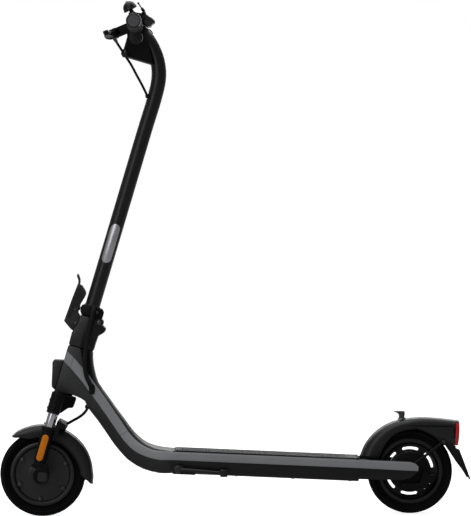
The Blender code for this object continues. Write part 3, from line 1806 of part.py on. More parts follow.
def build_throttle():
    """Housing clamped on the right of the bar and the thumb paddle that turns beside it."""
    start = THROTTLE_Y - 0.014
    housing_profile = [
        (BAR_RADIUS + SEAT_GAP, start + 0.013),
        (0.0170, start + 0.013),
        (0.0180, start + 0.011),
        (0.0180, start + 0.002),
        (0.0165, start),
        (BAR_RADIUS + SEAT_GAP, start),
    ]
    housing = turned("throttle_housing", housing_profile, BAR, black_plastic(), 32)
    ring_start = start + 0.013 + SEAT_GAP
    ring_end = BAR_LENGTH / 2 - GRIP_LENGTH - SEAT_GAP - 0.0002
    paddle = cross_rod(
        "throttle_paddle", 0.0165, (0.0, 0.0), ring_start, ring_end, BAR, black_plastic(), 28
    )
    blade = side_plate(
        "paddle_blade",
        [(0.0090, 0.0105), (0.0240, 0.0095), (0.0240, 0.0035), (0.0120, 0.0020)],
        ring_start + 0.0006,
        ring_end - 0.0006,
        BAR,
    )
    thumb_rest = side_plate(
        "thumb_rest",
        [(0.0212, 0.0090), (0.0228, 0.0108), (0.0352, 0.0046), (0.0402, -0.0018), (0.0411, -0.0058),
         (0.0376, -0.0075), (0.0325, -0.0015), (0.0222, 0.0025)],
        ring_start + 0.0012,
        ring_end + 0.012,
        BAR,
    )
    hole = cross_rod(
        "paddle_hole", BAR_RADIUS + PIN_GAP + 0.0001, (0.0, 0.0), 0.0, 0.2, BAR, sides=32
    )
    join(paddle, blade, thumb_rest)
    cut(paddle, hole)
    return housing, paddle


def build_latch_lever():
    """Long lever in front of the stem that locks the fold."""
    px, pz = LATCH_PIVOT
    outline = [
        (-0.0553, 0.3673),
        (-0.0537, 0.3917),
        (-0.0517, 0.4275),
        (-0.0484, 0.4637),
        (-0.0492, 0.4685),
        (-0.0512, 0.4729),
        (-0.0560, 0.4790),
        (-0.0565, 0.4845),
        (-0.0549, 0.4857),
        (-0.0507, 0.4812),
        (-0.0460, 0.4740),
        (-0.0444, 0.4680),
        (-0.0437, 0.4625),
        (-0.0375, 0.4612),
        (-0.0300, 0.4550),
        (-0.0249, 0.4491),
        (-0.0230, 0.4435),
        (-0.0243, 0.4343),
        (-0.0270, 0.4247),
        (-0.0288, 0.4170),
        (-0.0288, 0.3970),
        (-0.0180, 0.3860),
        (-0.0120, 0.3790),
    ]
    foot = arc(LATCH_PIVOT, LATCH_FOOT_RADIUS - TURNING_GAP, 20, -128, 10)
    outline += foot
    lever = side_plate(
        "latch_lever", outline, -LATCH_HALF_WIDTH, LATCH_HALF_WIDTH, STEERING, black_plastic()
    )
    lug_room = side_plate(
        "latch_lug_room",
        [(-0.0400, 0.3450), (-0.0400, 0.4180), (0.0, 0.4180), (0.0, 0.3450)],
        -LATCH_LUG_HALF_WIDTH - SEAT_GAP,
        LATCH_LUG_HALF_WIDTH + SEAT_GAP,
        STEERING,
    )
    pin_reach = LATCH_HALF_WIDTH - 0.001
    pin = cross_rod("latch_pin", LATCH_PIN_RADIUS, (px, pz), -pin_reach, pin_reach, STEERING)
    link_pin = cross_rod(
        "link_pin", 0.0020, LINK_PIVOT, -pin_reach, pin_reach, STEERING, sides=16
    )
    cut(lever, lug_room)
    join(lever, pin, link_pin)
    return lever


def build_latch_link():
    """Short link that the lever presses on the collar's lug."""
    x, z = LINK_PIVOT
    outline = arc(LINK_PIVOT, 0.0033, 200, 20, 6) + [
        (-0.0300, 0.4105),
        (-0.0268, 0.4105),
        (-0.0262, 0.4030),
        (-0.0300, 0.3990),
    ]
    link = side_plate(
        "latch_link", outline, -LATCH_LUG_HALF_WIDTH, LATCH_LUG_HALF_WIDTH, STEERING, dark_steel()
    )
    cut(link, cross_rod("link_hole", 0.0023, (x, z), -0.02, 0.02, STEERING, sides=16))
    return link


def kickstand_frame():
    """Pivot of the kickstand in the deck frame: (x, z)."""
    x = -(WHEELBASE - KICKSTAND_PIVOT_BEHIND_FRONT_AXLE) / math.cos(DECK_SLOPE)
    return (x, -KICKSTAND_PIVOT_BELOW_DECK)


def kickstand_axis():
    """Where the stand's pin leaves its bracket, and the pin's outward direction."""
    x, z = kickstand_frame()
    seat = Vector((x, -DECK_HALF_WIDTH - SEAT_GAP - BRACKET_THICKNESS, z))
    direction = Vector((0.0, -math.cos(KICKSTAND_AXIS_TILT), math.sin(KICKSTAND_AXIS_TILT)))
    return seat, direction


def build_kickstand_bracket():
    x, z = kickstand_frame()
    bottom = -DECK_THICKNESS - 0.0010
    outline = [
        (x - 0.0130, bottom),
        (x - 0.0110, z + 0.0090),
        (x + 0.0110, z + 0.0090),
        (x + 0.0130, bottom + 0.0085),
        (x + 0.0410, bottom + 0.0085),
        (x + 0.0410, bottom),
    ]
    face = -DECK_HALF_WIDTH - SEAT_GAP
    bracket = side_plate(
        "kickstand_bracket", outline, face - BRACKET_THICKNESS, face, DECK, black_paint()
    )
    seat, direction = kickstand_axis()
    pin = rod("kickstand_pin", 0.0035, seat - direction * 0.003, seat + direction * 0.0105, DECK, sides=16)
    join(bracket, pin)
    return bracket


def build_kickstand():
    """Side stand folded back along the deck. It turns about the tilted pin of its bracket."""
    start, direction = kickstand_axis()
    boss = rod(
        "kickstand",
        0.0085,
        start + direction * 0.0032,
        start + direction * 0.0102,
        DECK,
        black_paint(),
        sides=28,
    )
    hole = rod("kickstand_hole", 0.0038, start - direction * 0.01, start + direction * 0.03, DECK, sides=20)
    middle = start + direction * 0.0067
    droop = KICKSTAND_DROOP - DECK_SLOPE
    along = Vector((math.cos(droop), 0.0, -math.sin(droop)))
    leg = rod(
        "kickstand_leg",
        0.0042,
        middle + along * 0.006,
        middle + along * (KICKSTAND_LENGTH - 0.016),
        DECK,
        sides=16,
    )
    foot_centre = middle + along * (KICKSTAND_LENGTH - 0.009)
    foot = box(
        "kickstand_foot",
        (foot_centre.x - 0.0092, foot_centre.y - 0.0050, foot_centre.z - 0.0085),
        (foot_centre.x + 0.0092, foot_centre.y + 0.0050, foot_centre.z + 0.0095),
        DECK,
    )
    bevel(foot, 0.003, 2)
    join(boss, leg, foot)
    cut(boss, hole)
    return boss


def build_frame_group():
    build_main_frame()
    build_nose_cover()
    build_deck_frame()
    build_deck_mat()
    build_bottom_cover()
    build_battery()
    build_side_trim(-1, "side_trim_left")
    build_side_trim(1, "side_trim_right")
    build_head_cable()
    build_rear_fender()
    build_mudflap()
    build_tail_light()
    build_fender_hook()
    build_fender_stay(-1, "fender_stay_left")
    build_fender_stay(1, "fender_stay_right")
    build_rear_axle()
    build_brake_backing()
    build_brake_arm()
    build_kickstand_bracket()
    build_kickstand()


def build_wheels():
    build_tyre("front_tyre", FRONT_AXLE)
    build_motor_shell()
    build_hub_cover()
    build_motor_stator()
    build_tyre("rear_tyre", REAR_AXLE)
    build_rear_rim()


def build_fork_group():
    build_fork_crown()
    for side, name in ((-1, "left"), (1, "right")):
        build_stanchion(side, "stanchion_" + name)
        build_fork_leg(side, "fork_leg_" + name)
        build_reflector(side, "reflector_" + name)
        build_axle_cap(side, "axle_cap_" + name)
    build_fork_brace()
    build_front_fender()
    build_motor_cable()


def build_stem_group():
    build_folding_base()
    build_fold_pin()
    build_latch_lever()
    build_latch_link()
    build_stem_collar()
    build_stem_tube()
    build_stem_plate()
    build_handlebar()
    build_grip(-1, "grip_left")
    build_grip(1, "grip_right")
    build_head_housing()
    build_headlight_lens()
    build_display_cover()
    build_mode_button()
    build_brake_bracket()
    build_bell_dome()
    build_bell_striker()
    build_brake_lever()
    build_brake_cable()
    build_throttle()


build_frame_group()
build_wheels()
build_fork_group()
build_stem_group()
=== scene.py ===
"""Looks of the electric kick scooter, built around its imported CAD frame.

Metres, +Z up, +X to the rear, and the left side faces the camera. Pieces that belong to
the fork or the stem are drawn in the steering frame: x behind the steering axis, z along it.
Outlines are listed in millimetres: (x, z) in side view, or (radius, y) for turned pieces.
"""

import math

import bmesh
import bpy
from mathutils import Matrix, Vector


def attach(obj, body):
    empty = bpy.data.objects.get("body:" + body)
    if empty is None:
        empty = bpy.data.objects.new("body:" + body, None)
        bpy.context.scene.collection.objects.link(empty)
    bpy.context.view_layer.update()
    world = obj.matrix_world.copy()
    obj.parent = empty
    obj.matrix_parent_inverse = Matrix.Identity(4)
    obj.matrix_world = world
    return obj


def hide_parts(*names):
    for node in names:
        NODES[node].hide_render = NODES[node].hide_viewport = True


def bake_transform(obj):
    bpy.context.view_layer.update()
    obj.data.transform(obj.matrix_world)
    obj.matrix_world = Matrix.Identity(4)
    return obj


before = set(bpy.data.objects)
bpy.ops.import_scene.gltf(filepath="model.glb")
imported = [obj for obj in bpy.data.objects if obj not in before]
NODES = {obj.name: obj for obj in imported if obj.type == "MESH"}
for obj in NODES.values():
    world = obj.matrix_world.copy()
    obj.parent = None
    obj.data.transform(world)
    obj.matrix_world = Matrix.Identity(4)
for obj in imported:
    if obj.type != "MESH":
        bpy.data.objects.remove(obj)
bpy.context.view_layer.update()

# Frames of the CAD model
FRONT_AXLE = Vector((-0.46365, 0.0, 0.1025))
REAR_AXLE = Vector((0.42135, 0.0, 0.1025))
RAKE = math.radians(16.9)
DECK_SLOPE = math.radians(2.9)
DECK_RISE = 0.0268
BAR_IN_STEERING = (-0.0908, 0.0, 1.0916)
FRONT = Matrix.Translation(FRONT_AXLE)
REAR = Matrix.Translation(REAR_AXLE)
STEERING = FRONT @ Matrix.Rotation(RAKE, 4, "Y")
DECK = Matrix.Translation(REAR_AXLE + Vector((0, 0, DECK_RISE))) @ Matrix.Rotation(DECK_SLOPE, 4, "Y")
BAR = Matrix.Translation(STEERING @ Vector(BAR_IN_STEERING))
UPRIGHT = Matrix.Rotation(math.pi / 2, 4, "X")

# Sizes shared with the CAD model
TYRE_RADIUS = 0.1025
FENDER_HALF_WIDTH = 0.033
HEAD_HALF_WIDTH = 0.030
DECK_HALF_WIDTH = 0.065
DECK_THICKNESS = 0.0535
DECK_FRONT = -0.5720
DECK_REAR = -0.1244
BASE_HALF_WIDTH = 0.027
COLLAR_HALF_WIDTH = 0.0215
STEM_RADIUS = 0.0178
LEG_Y = 0.057
LEG_RADIUS = 0.0145
STANCHION_X = -0.0165
CUP_FRONT = STANCHION_X - 0.0156
BAR_END = 0.2225
GRIP_START = 0.105
BRAKE_Y = -0.088
BELL_RADIUS = 0.0165
BELL_TILT = math.radians(27.5)

# Camera: 6.5 m away, level with the middle of the scooter
CAMERA_PLACE = Vector((-0.096, -6.5, 0.6185))
CAMERA_YAW = math.radians(0.883)
CAMERA_ROLL = math.radians(0.375)
CAMERA_LENS = 187.95
SENSOR = 36.0

# Studio
WHITE = (1.0, 1.0, 1.0, 1.0)
FLOOR_TONE = 0.42
FLOOR_GLOW = 0.80
FLOOR_REACH = 40.0
WORLD_LIGHT = 0.2
GLOSS_SHARE = 0.3


# Materials


class Nodes:
    """Short names for building the node tree of a material or of the world."""

    def __init__(self, owner, shader="Principled BSDF"):
        owner.use_nodes = True
        self.owner = owner
        self.tree = owner.node_tree
        self.shader = self.tree.nodes[shader]
        self.place = self.node("TexCoord", "Object", {})

    def node(self, kind, output, inputs, **settings):
        """Output of a new node, with its inputs by name or number and its settings."""
        made = self.tree.nodes.new("ShaderNode" + kind)
        for key, value in settings.items():
            setattr(made, key, value)
        for key, value in inputs.items():
            self.feed(made.inputs[key], value)
        return made.outputs[output]

    def feed(self, socket, value):
        if isinstance(value, bpy.types.NodeSocket):
            self.tree.links.new(value, socket)
        else:
            socket.default_value = value

    def noise(self, scale, detail, vector=None, roughness=0.5):
        inputs = {"Scale": scale, "Detail": detail, "Roughness": roughness, "Vector": vector or self.place}
        return self.node("TexNoise", "Fac", inputs)

    def span(self, value, low, high, start=0.0, end=1.0):
        inputs = {"Value": value, "From Min": start, "From Max": end, "To Min": low, "To Max": high}
        return self.node("MapRange", "Result", inputs)

    def sum(self, first, second, operation="ADD"):
        return self.node("Math", 0, {0: first, 1: second}, operation=operation)

    def dot(self, first, second):
        return self.node("VectorMath", "Value", {0: first, 1: second}, operation="DOT_PRODUCT")

    def edges(self, radius):
        """Near 1 along sharp edges and 0 on the flats."""
        soft = self.node("Bevel", 0, {"Radius": radius}, samples=6)
        hard = self.node("NewGeometry", "Normal", {})
        return self.span(self.dot(soft, hard), 1.0, 0.0, 0.80, 0.985)

    def mix(self, share, first, second):
        return self.node("Mix", 2, {0: share, 6: first, 7: second}, data_type="RGBA")

    def bump(self, height, strength, distance):
        return self.node("Bump", "Normal", {"Height": height, "Strength": strength, "Distance": distance})

    def set(self, **values):
        for key, value in values.items():
            self.feed(self.shader.inputs[key.replace("_", " ")], value)
        return self.owner


CLOUD_SCALE = 9.0
STREAK_SCALE = 55.0
EDGE_WEAR_RADIUS = 0.0012
WORN_FACTOR = 3.5
DUST_COLOUR = (0.09, 0.085, 0.08, 1.0)


def shade(colour, factor):
    return (*[min(1.0, c * factor) for c in colour[:3]], 1.0)


def moulded(name, colour, rough, grain, vary=0.2, wear=0.1, specular=0.2, spread=0.07, dust=0.0, tone_or_painted_shade=None):
    """Paint, plastic or rubber: a fine grain, faint mottling, handling marks and worn edges.

    The grain is its scale and depth. A tone or painted shade makes the colour darker past a
    plane, and on the main frame it is painted shade towards its underside: its normal, its place,
    the width of the change and the factor of the colour there.
    """
    n = Nodes(bpy.data.materials.new(name))
    cloud = n.noise(CLOUD_SCALE, 4.0)
    streak = n.noise(STREAK_SCALE, 5.0)
    base = n.mix(n.span(cloud, 0.0, 1.0, 0.35, 0.65), shade(colour, 1 - vary), shade(colour, 1 + vary))
    if tone_or_painted_shade:
        normal, place, width, factor = tone_or_painted_shade
        past = n.span(n.dot(n.place, normal), 1.0, factor, place, place + width)
        base = n.node("VectorMath", 0, {0: base, "Scale": past}, operation="SCALE")
    if wear:
        worn = n.sum(n.edges(EDGE_WEAR_RADIUS), n.span(streak, 0.0, 1.0, 0.35, 0.75), "MULTIPLY")
        base = n.mix(n.sum(worn, wear, "MULTIPLY"), base, shade(colour, WORN_FACTOR))
    if dust:
        base = n.mix(n.span(n.noise(30.0, 6.0, roughness=0.7), 0.0, dust, 0.48, 0.75), base, DUST_COLOUR)
    scale, depth = grain
    return n.set(
        Base_Color=base,
        Roughness=n.span(n.sum(cloud, streak), rough - spread, rough + spread, 0.7, 1.3),
        Normal=n.bump(n.noise(scale, 2.0), 0.35, depth),
        Specular_IOR_Level=specular,
    )


def metal(name, colour, rough, scratch=(400.0, 400.0, 12.0), depth=0.00004, vary=0.12, turn=0.0):
    """Bare metal with drawn scratches along the third axis of the mapping."""
    n = Nodes(bpy.data.materials.new(name))
    mapping = {"Vector": n.place, "Rotation": (0.0, turn, 0.0), "Scale": scratch}
    lines = n.noise(1.0, 4.0, n.node("Mapping", "Vector", mapping))
    cloud = n.noise(22.0, 4.0)
    base = n.mix(n.span(cloud, 0.0, 1.0, 0.3, 0.7), shade(colour, 1 - vary), shade(colour, 1 + vary))
    rough_map = n.span(n.sum(lines, cloud), rough * 0.7, rough * 1.35, 0.6, 1.4)
    return n.set(Base_Color=base, Metallic=1.0, Roughness=rough_map, Normal=n.bump(lines, 0.3, depth))


def lens(name, colour, rough, cells=0.0, transmission=0.0, glow=0.0, coat=0.6):
    """Reflector or lamp plastic: clear coat over a field of small prisms."""
    n = Nodes(bpy.data.materials.new(name))
    n.set(Base_Color=colour, Roughness=rough, Coat_Weight=coat, Coat_Roughness=0.06, Specular_IOR_Level=0.12)
    if cells:
        inputs = {"Scale": cells, "Vector": n.place}
        field = n.node("TexVoronoi", "Distance", inputs, feature="DISTANCE_TO_EDGE")
        prisms = n.mix(n.span(field, 0.0, 1.0, 0.0, 0.25), shade(colour, 0.62), shade(colour, 1.18))
        n.set(Base_Color=prisms, Normal=n.bump(field, 0.6, 0.0004))
    if transmission:
        n.set(Transmission_Weight=transmission, IOR=1.49, Specular_IOR_Level=0.3)
    if glow:
        n.set(Emission_Color=colour, Emission_Strength=glow)
    return n.owner


STEERING_X = Vector((math.cos(RAKE), 0.0, -math.sin(RAKE)))
BASE_TONE = (STEERING_X, FRONT_AXLE.dot(STEERING_X) - 0.0015, 0.002, 0.22)
# Painted shade: the main frame's colour falls to 22 % towards its lower side, over 36 mm
NECK_PAINTED_SHADE = (Vector((-0.6, 0.0, -1.0)), -0.080, 0.036, 0.22)
FINE, SATIN, COARSE = (1400.0, 0.00005), (1800.0, 0.0001), (2200.0, 0.00012)

PAINT = moulded("black_paint", (0.0042, 0.0043, 0.0046), 0.36, FINE, wear=0.12, specular=0.17)
BLACK = moulded("deep_black_paint", (0.0014, 0.0014, 0.0016), 0.42, FINE, wear=0.06, specular=0.07)
# Charcoal paint of the main frame, with painted shade towards its underside
CHARCOAL_WITH_PAINTED_SHADE = moulded("charcoal_paint_painted_shade", (0.0160, 0.0164, 0.0172), 0.42, FINE, tone_or_painted_shade=NECK_PAINTED_SHADE)
DECK_PAINT = moulded("deck_paint", (0.0029, 0.0030, 0.0032), 0.40, FINE, specular=0.15)
BASE_PAINT = moulded(
    "charcoal_to_black_paint", (0.0125, 0.0128, 0.0134), 0.42, FINE, specular=0.15, tone_or_painted_shade=BASE_TONE
)
HUB = moulded("hub_paint", (0.0052, 0.0054, 0.0058), 0.36, FINE, specular=0.22)
PLASTIC = moulded("grained_plastic", (0.0074, 0.0076, 0.0080), 0.55, COARSE, wear=0.15)
DARK_PLASTIC = moulded("dark_grained_plastic", (0.0018, 0.0018, 0.0020), 0.52, COARSE, specular=0.08)
FENDER = moulded(
    "fender_plastic", (0.0050, 0.0052, 0.0055), 0.40, (1900.0, 0.00008), wear=0.12, specular=0.17, dust=0.02
)
CAP = moulded("charcoal_plastic", (0.0062, 0.0064, 0.0068), 0.5, SATIN)
# Painted light: the bar-end plugs are a lighter grey than the grips, for the front light on their faces
GRIP_END_PAINTED_LIGHT = moulded("grip_end_plastic", (0.050, 0.051, 0.053), 0.5, SATIN, specular=0.25)
TRIM = moulded(
    "grey_trim", (0.148, 0.151, 0.156), 0.44, (1600.0, 0.00004), vary=0.05, wear=0.08, specular=0.3
)
# Near-black for seams and grooves, and for the painted shade under the rear fender's crease
SEAM_AND_SHADOW = moulded("seam_shadow", (0.0012, 0.0012, 0.0012), 0.85, (900.0, 0.00005), wear=0.0, specular=0.05)
RUBBER = moulded("rubber", (0.0022, 0.0022, 0.0023), 0.70, (900.0, 0.0001), wear=0.0, specular=0.12)
GRIP = moulded("grip_rubber", (0.0085, 0.0085, 0.0090), 0.66, (1500.0, 0.00015), wear=0.2, specular=0.18)
TYRE = moulded(
    "tyre_rubber", (0.0012, 0.0012, 0.0012), 0.74, (700.0, 0.00018),
    vary=0.3, wear=0.08, specular=0.05, dust=0.01,
)
MAT = moulded(
    "deck_mat_rubber", (0.022, 0.022, 0.024), 0.72, (1200.0, 0.00015), wear=0.2, specular=0.25, dust=0.06
)
GLOSS = moulded(
    "gloss_black", (0.003, 0.003, 0.0034), 0.14, (500.0, 0.00001), wear=0.05, spread=0.04, specular=0.4
)
BELL = moulded("bell_black", (0.0032, 0.0032, 0.0036), 0.30, (900.0, 0.00002), spread=0.05, specular=0.14)
STEEL = metal("dark_steel", (0.045, 0.045, 0.048), 0.36)
ZINC = metal("screw_steel", (0.16, 0.16, 0.165), 0.34)
REFLECTOR = metal("lamp_reflector", (0.42, 0.42, 0.44), 0.48, (8.0, 8.0, 8.0), 0.00001, 0.04)
CHROME = metal("chrome_tube", (0.30, 0.30, 0.32), 0.20, (900.0, 900.0, 9.0), 0.00003, 0.05, RAKE)
PLATE = metal("brushed_plate", (0.26, 0.26, 0.27), 0.36, (60.0, 60.0, 2600.0), 0.00005, turn=RAKE)
AMBER = lens("amber_reflector", (0.44, 0.128, 0.001, 1.0), 0.34, 420.0, coat=0.05)
RED = lens("red_lens", (0.40, 0.010, 0.012, 1.0), 0.16, 300.0, glow=0.03, coat=0.2)
CLEAR = lens("clear_lens", (0.92, 0.94, 0.97, 1.0), 0.03, transmission=0.95)

# Material of each CAD node: the material, then the nodes' names
NODE_LOOKS = (
    (CHARCOAL_WITH_PAINTED_SHADE, "main_frame"),
    (DECK_PAINT, "deck_frame"),
    (BASE_PAINT, "folding_base"),
    (PAINT, "kickstand_bracket kickstand stem_tube"),
    (BLACK, "fender_stay_left fender_stay_right brake_backing_plate rear_rim fork_crown fork_leg_left"),
    (BLACK, "fork_leg_right axle_cap_left axle_cap_right stem_collar handlebar brake_lever"),
    (HUB, "motor_shell hub_cover"),
    (PLASTIC, "nose_cover deck_bottom_cover battery_pack latch_lever"),
    (DARK_PLASTIC, "head_housing brake_bracket throttle_housing throttle_paddle fork_brace"),
    (FENDER, "rear_fender front_fender"),
    (TRIM, "side_trim_left side_trim_right"),
    (RUBBER, "cable_grommet head_cable rear_mudflap mode_button brake_cable motor_cable"),
    (GRIP, "grip_left grip_right"),
    (TYRE, "front_tyre rear_tyre"),
    (MAT, "deck_mat"),
    (STEEL, "fender_hook rear_axle brake_arm fold_pin latch_link bell_striker motor_stator"),
    (CHROME, "stanchion_left stanchion_right"),
    (PLATE, "stem_plate"),
    (AMBER, "reflector_left reflector_right"),
    (RED, "tail_light_lens"),
    (CLEAR, "headlight_lens"),
    (GLOSS, "display_cover"),
    (BELL, "bell_dome"),
)


def dress_cad_nodes():
    """Gives each CAD node its material, smooth shading and slightly rounded edges."""
    for surface, names in NODE_LOOKS:
        for name in names.split():
            obj = NODES[name]
            obj.data.materials.clear()
            obj.data.materials.append(surface)
            for face in obj.data.polygons:
                face.use_smooth = True
            weld = obj.modifiers.new("weld", "WELD")
            weld.merge_threshold = 0.00002
            round_edges(obj, 0.0004, 2, 38)


# Mesh helpers


def linked(name, data):
    obj = bpy.data.objects.new(name, data)
    bpy.context.scene.collection.objects.link(obj)
    return obj


def add_object(name, mesh, surface, body):
    """New piece on a body, with one material."""
    mesh.materials.clear()
    mesh.materials.append(surface)
    obj = linked(name, mesh)
    if body:
        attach(obj, body)
    return obj


def add_mesh(
    name, shape, surface, body, place=None, sharp=35.0, outward=True, rounding=0.0, stands_for=""
):
    """New piece from points and faces, with outward normals and creases at sharp edges."""
    points, faces = shape
    mesh = bpy.data.meshes.new(name)
    mesh.from_pydata([tuple(p) for p in points], [], faces)
    if place is not None:
        mesh.transform(place)
    solid = bmesh.new()
    solid.from_mesh(mesh)
    bmesh.ops.remove_doubles(solid, verts=solid.verts, dist=0.000002)
    bmesh.ops.dissolve_degenerate(solid, edges=solid.edges, dist=0.000002)
    if outward:
        bmesh.ops.recalc_face_normals(solid, faces=solid.faces)
    solid.to_mesh(mesh)
    solid.free()
    for face in mesh.polygons:
        face.use_smooth = True
    mesh.set_sharp_from_angle(angle=math.radians(sharp))
    piece = add_object(name, mesh, surface, body)
    if rounding:
        round_edges(piece, rounding)
    if stands_for:
        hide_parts(*stands_for.split())
    return piece


def round_edges(obj, width, segments=2, angle=35.0):
    rounding = obj.modifiers.new("rounding", "BEVEL")
    rounding.width = width
    rounding.segments = segments
    rounding.limit_method = "ANGLE"
    rounding.angle_limit = math.radians(angle)
    rounding.harden_normals = True


def apply_modifiers(obj):
    """Keeps the finished mesh and drops the modifiers that made it."""
    bpy.context.view_layer.update()
    graph = bpy.context.evaluated_depsgraph_get()
    mesh = bpy.data.meshes.new_from_object(obj.evaluated_get(graph))
    obj.modifiers.clear()
    obj.data = mesh


def mm(*points):
    """Points given in millimetres, as a list in metres."""
    return [tuple(value / 1000 for value in point) for point in points]


def polar(radius, degrees):
    angle = math.radians(degrees)
    return radius * math.cos(angle), radius * math.sin(angle)


def ring_faces(rows, columns, close_rows=False):
    """Quads of a grid whose columns close into a ring."""
    faces = []
    for i in range(rows if close_rows else rows - 1):
        j = (i + 1) % rows
        for k in range(columns):
            m = (k + 1) % columns
            faces.append((i * columns + k, j * columns + k, j * columns + m, i * columns + m))
    return faces


def tube_faces(rows, columns):
    """Faces of a closed tube: its sides and both ends."""
    last = (rows - 1) * columns
    return ring_faces(rows, columns) + [tuple(range(columns)), tuple(range(last, last + columns))]


def smooth_line(points, steps):
    """Catmull-Rom curve through 3-D points."""
    knots = [Vector(p) for p in points]
    knots = [knots[0] * 2 - knots[1]] + knots + [knots[-1] * 2 - knots[-2]]
    line = []
    for i in range(1, len(knots) - 2):
        a, b, c, d = knots[i - 1:i + 3]
        square, cube = 2 * a - 5 * b + 4 * c - d, 3 * b - a - 3 * c + d
        for t in (step / steps for step in range(steps)):
            line.append(0.5 * (2 * b + (c - a) * t + square * t * t + cube * t ** 3))
    line.append(knots[-2])
    return line


def side_curve(points, steps):
    """Smooth line through side-view points."""
    return smooth_line([(x, 0.0, z) for x, z in points], steps)


def arc(centre, radius, start, end, steps):
    """Side-view points of an arc, from one angle to another in degrees."""
    turns = [polar(radius, start + (end - start) * i / steps) for i in range(steps + 1)]
    return [(centre[0] + x, centre[1] + z) for x, z in turns]


def rounded_box(centre, width, height, corner, turn=0.0):
    """Side-view outline of a box with round corners, turned by an angle in degrees."""
    points = []
    for sx, sz, start in ((1, 1, 0), (-1, 1, 90), (-1, -1, 180), (1, -1, 270)):
        place = (sx * (width / 2 - corner), sz * (height / 2 - corner))
        points += arc(place, corner, start, start + 90, 4)
    c, s = polar(1.0, turn)
    return [(centre[0] + x * c - z * s, centre[1] + x * s + z * c) for x, z in points]


def plate_shape(outline, low, high):
    """Points and faces of a side-view outline carried across from one y to another."""
    return [(x, y, z) for y in (low, high) for x, z in outline], tube_faces(2, len(outline))


def joined(shapes):
    """One list of points and faces from several."""
    points, faces = [], []
    for more_points, more_faces in shapes:
        start = len(points)
        points += [tuple(p) for p in more_points]
        faces += [tuple(start + i for i in face) for face in more_faces]
    return points, faces


def plate_pair(outline, inner, outer):
    """The same plate on the left and on the right, between two distances from the middle."""
    return joined([plate_shape(outline, *sorted((side * inner, side * outer))) for side in (-1, 1)])


def turned_shape(profile, steps=96):
    """Solid of revolution about the y axis."""
    open_ends = profile[0][0] < 1e-6 and profile[-1][0] < 1e-6
    points = []
    for radius, y in profile:
        for k in range(steps):
            x, z = polar(radius, 360 * k / steps)
            points.append((x, y, z))
    return points, ring_faces(len(profile), steps, not open_ends)


def add_turned(name, profile, surface, body, place, steps=96, stands_for=""):
    return add_mesh(name, turned_shape(profile, steps), surface, body, place, stands_for=stands_for)


def moved(shape, place):
    points, faces = shape
    return [place @ Vector(p) for p in points], faces


def around(radius, count, start, y=0.0):
    """Points spread evenly on a circle about the y axis."""
    turns = [polar(radius, start + 360 * k / count) for k in range(count)]
    return [(x, y, z) for x, z in turns]


def screw_shape(point, outward, radius, sides=24):
    """Button-head screw with a hexagon socket, seated at a point."""
    turn = Vector(outward).to_track_quat("Z", "Y").to_matrix().to_4x4()
    seat = Matrix.Translation(point) @ turn
    rows = [(1.0, -0.3, 0), (1.0, 0.15, 0), (0.9, 0.36, 0), (0.64, 0.5, 0), (0.48, 0.5, 1), (0.48, 0.12, 1)]
    points = []
    for share, height, socket in rows:
        for degrees in (360.0 * k / sides for k in range(sides)):
            reach = radius * share
            if socket:
                reach *= math.cos(math.radians(30)) / math.cos(math.radians(degrees % 60 - 30))
            points.append(seat @ Vector((*polar(reach, degrees), radius * height)))
    return points, tube_faces(len(rows), sides)


def add_screws(name, spots, body, place, surface=STEEL):
    """Screws on one body: (point, outward direction, head radius)."""
    add_mesh(name, joined([screw_shape(*spot) for spot in spots]), surface, body, place)


def both_sides(x, y, z, radius):
    """Two screws at the same side-view point, facing out on the left and on the right."""
    return [((x, side * y, z), (0, side, 0), radius) for side in (-1, 1)]


def sweep(line, radius, sides=16, cap=0.35):
    """Points and faces of a round tube along a line, with slightly rounded ends."""
    up = Vector((0.0, 1.0, 0.0))
    rings = []
    last = len(line) - 1
    for i, point in enumerate(line):
        ahead = (line[min(i + 1, last)] - line[max(i - 1, 0)]).normalized()
        across = ahead.cross(up).normalized()
        up = across.cross(ahead).normalized()
        rings.append((point, ahead, across, up, radius(i / last) if callable(radius) else radius))
    (start, *start_axes, r0), (end, *end_axes, r1) = rings[0], rings[-1]
    rings.insert(0, (start - start_axes[0] * r0 * cap, *start_axes, r0 * 0.8))
    rings.append((end + end_axes[0] * r1 * cap, *end_axes, r1 * 0.8))
    points = []
    for point, _, across, up, r in rings:
        for k in range(sides):
            a, b = polar(r, 360 * k / sides)
            points.append(point + across * a + up * b)
    return points, tube_faces(len(rings), sides)


# Castings


CASTINGS = (
    ("fork_crown_casting", "fork_crown", 0.0012, 9, BLACK, "steering"),
    ("fork_brace_casting", "fork_brace", 0.0010, 5, DARK_PLASTIC, "fork_lower"),
    ("fork_leg_casting_left", "fork_leg_left", 0.0010, 5, BLACK, "fork_lower"),
    ("fork_leg_casting_right", "fork_leg_right", 0.0010, 5, BLACK, "fork_lower"),
    ("brake_clamp_casting", "brake_bracket", 0.0007, 5, DARK_PLASTIC, "stem"),
    ("brake_lever_casting", "brake_lever", 0.0007, 9, BLACK, "brake_handle"),
    ("throttle_paddle_soft", "throttle_paddle", 0.0006, 5, DARK_PLASTIC, "throttle"),
    ("head_housing_soft", "head_housing", 0.0008, 4, DARK_PLASTIC, "stem"),
)


def build_castings():
    """CAD solids again, with their edges melted into soft fillets."""
    for name, node, voxel, rounds, surface, body in CASTINGS:
        piece = add_object(name, NODES[node].data.copy(), surface, body)
        skin = piece.modifiers.new("skin", "REMESH")
        skin.mode = "VOXEL"
        skin.voxel_size = voxel
        skin.use_smooth_shade = True
        soft = piece.modifiers.new("fillets", "SMOOTH")
        soft.factor = 0.5
        soft.iterations = rounds
        apply_modifiers(piece)
        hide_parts(node)


# Tyres and wheels


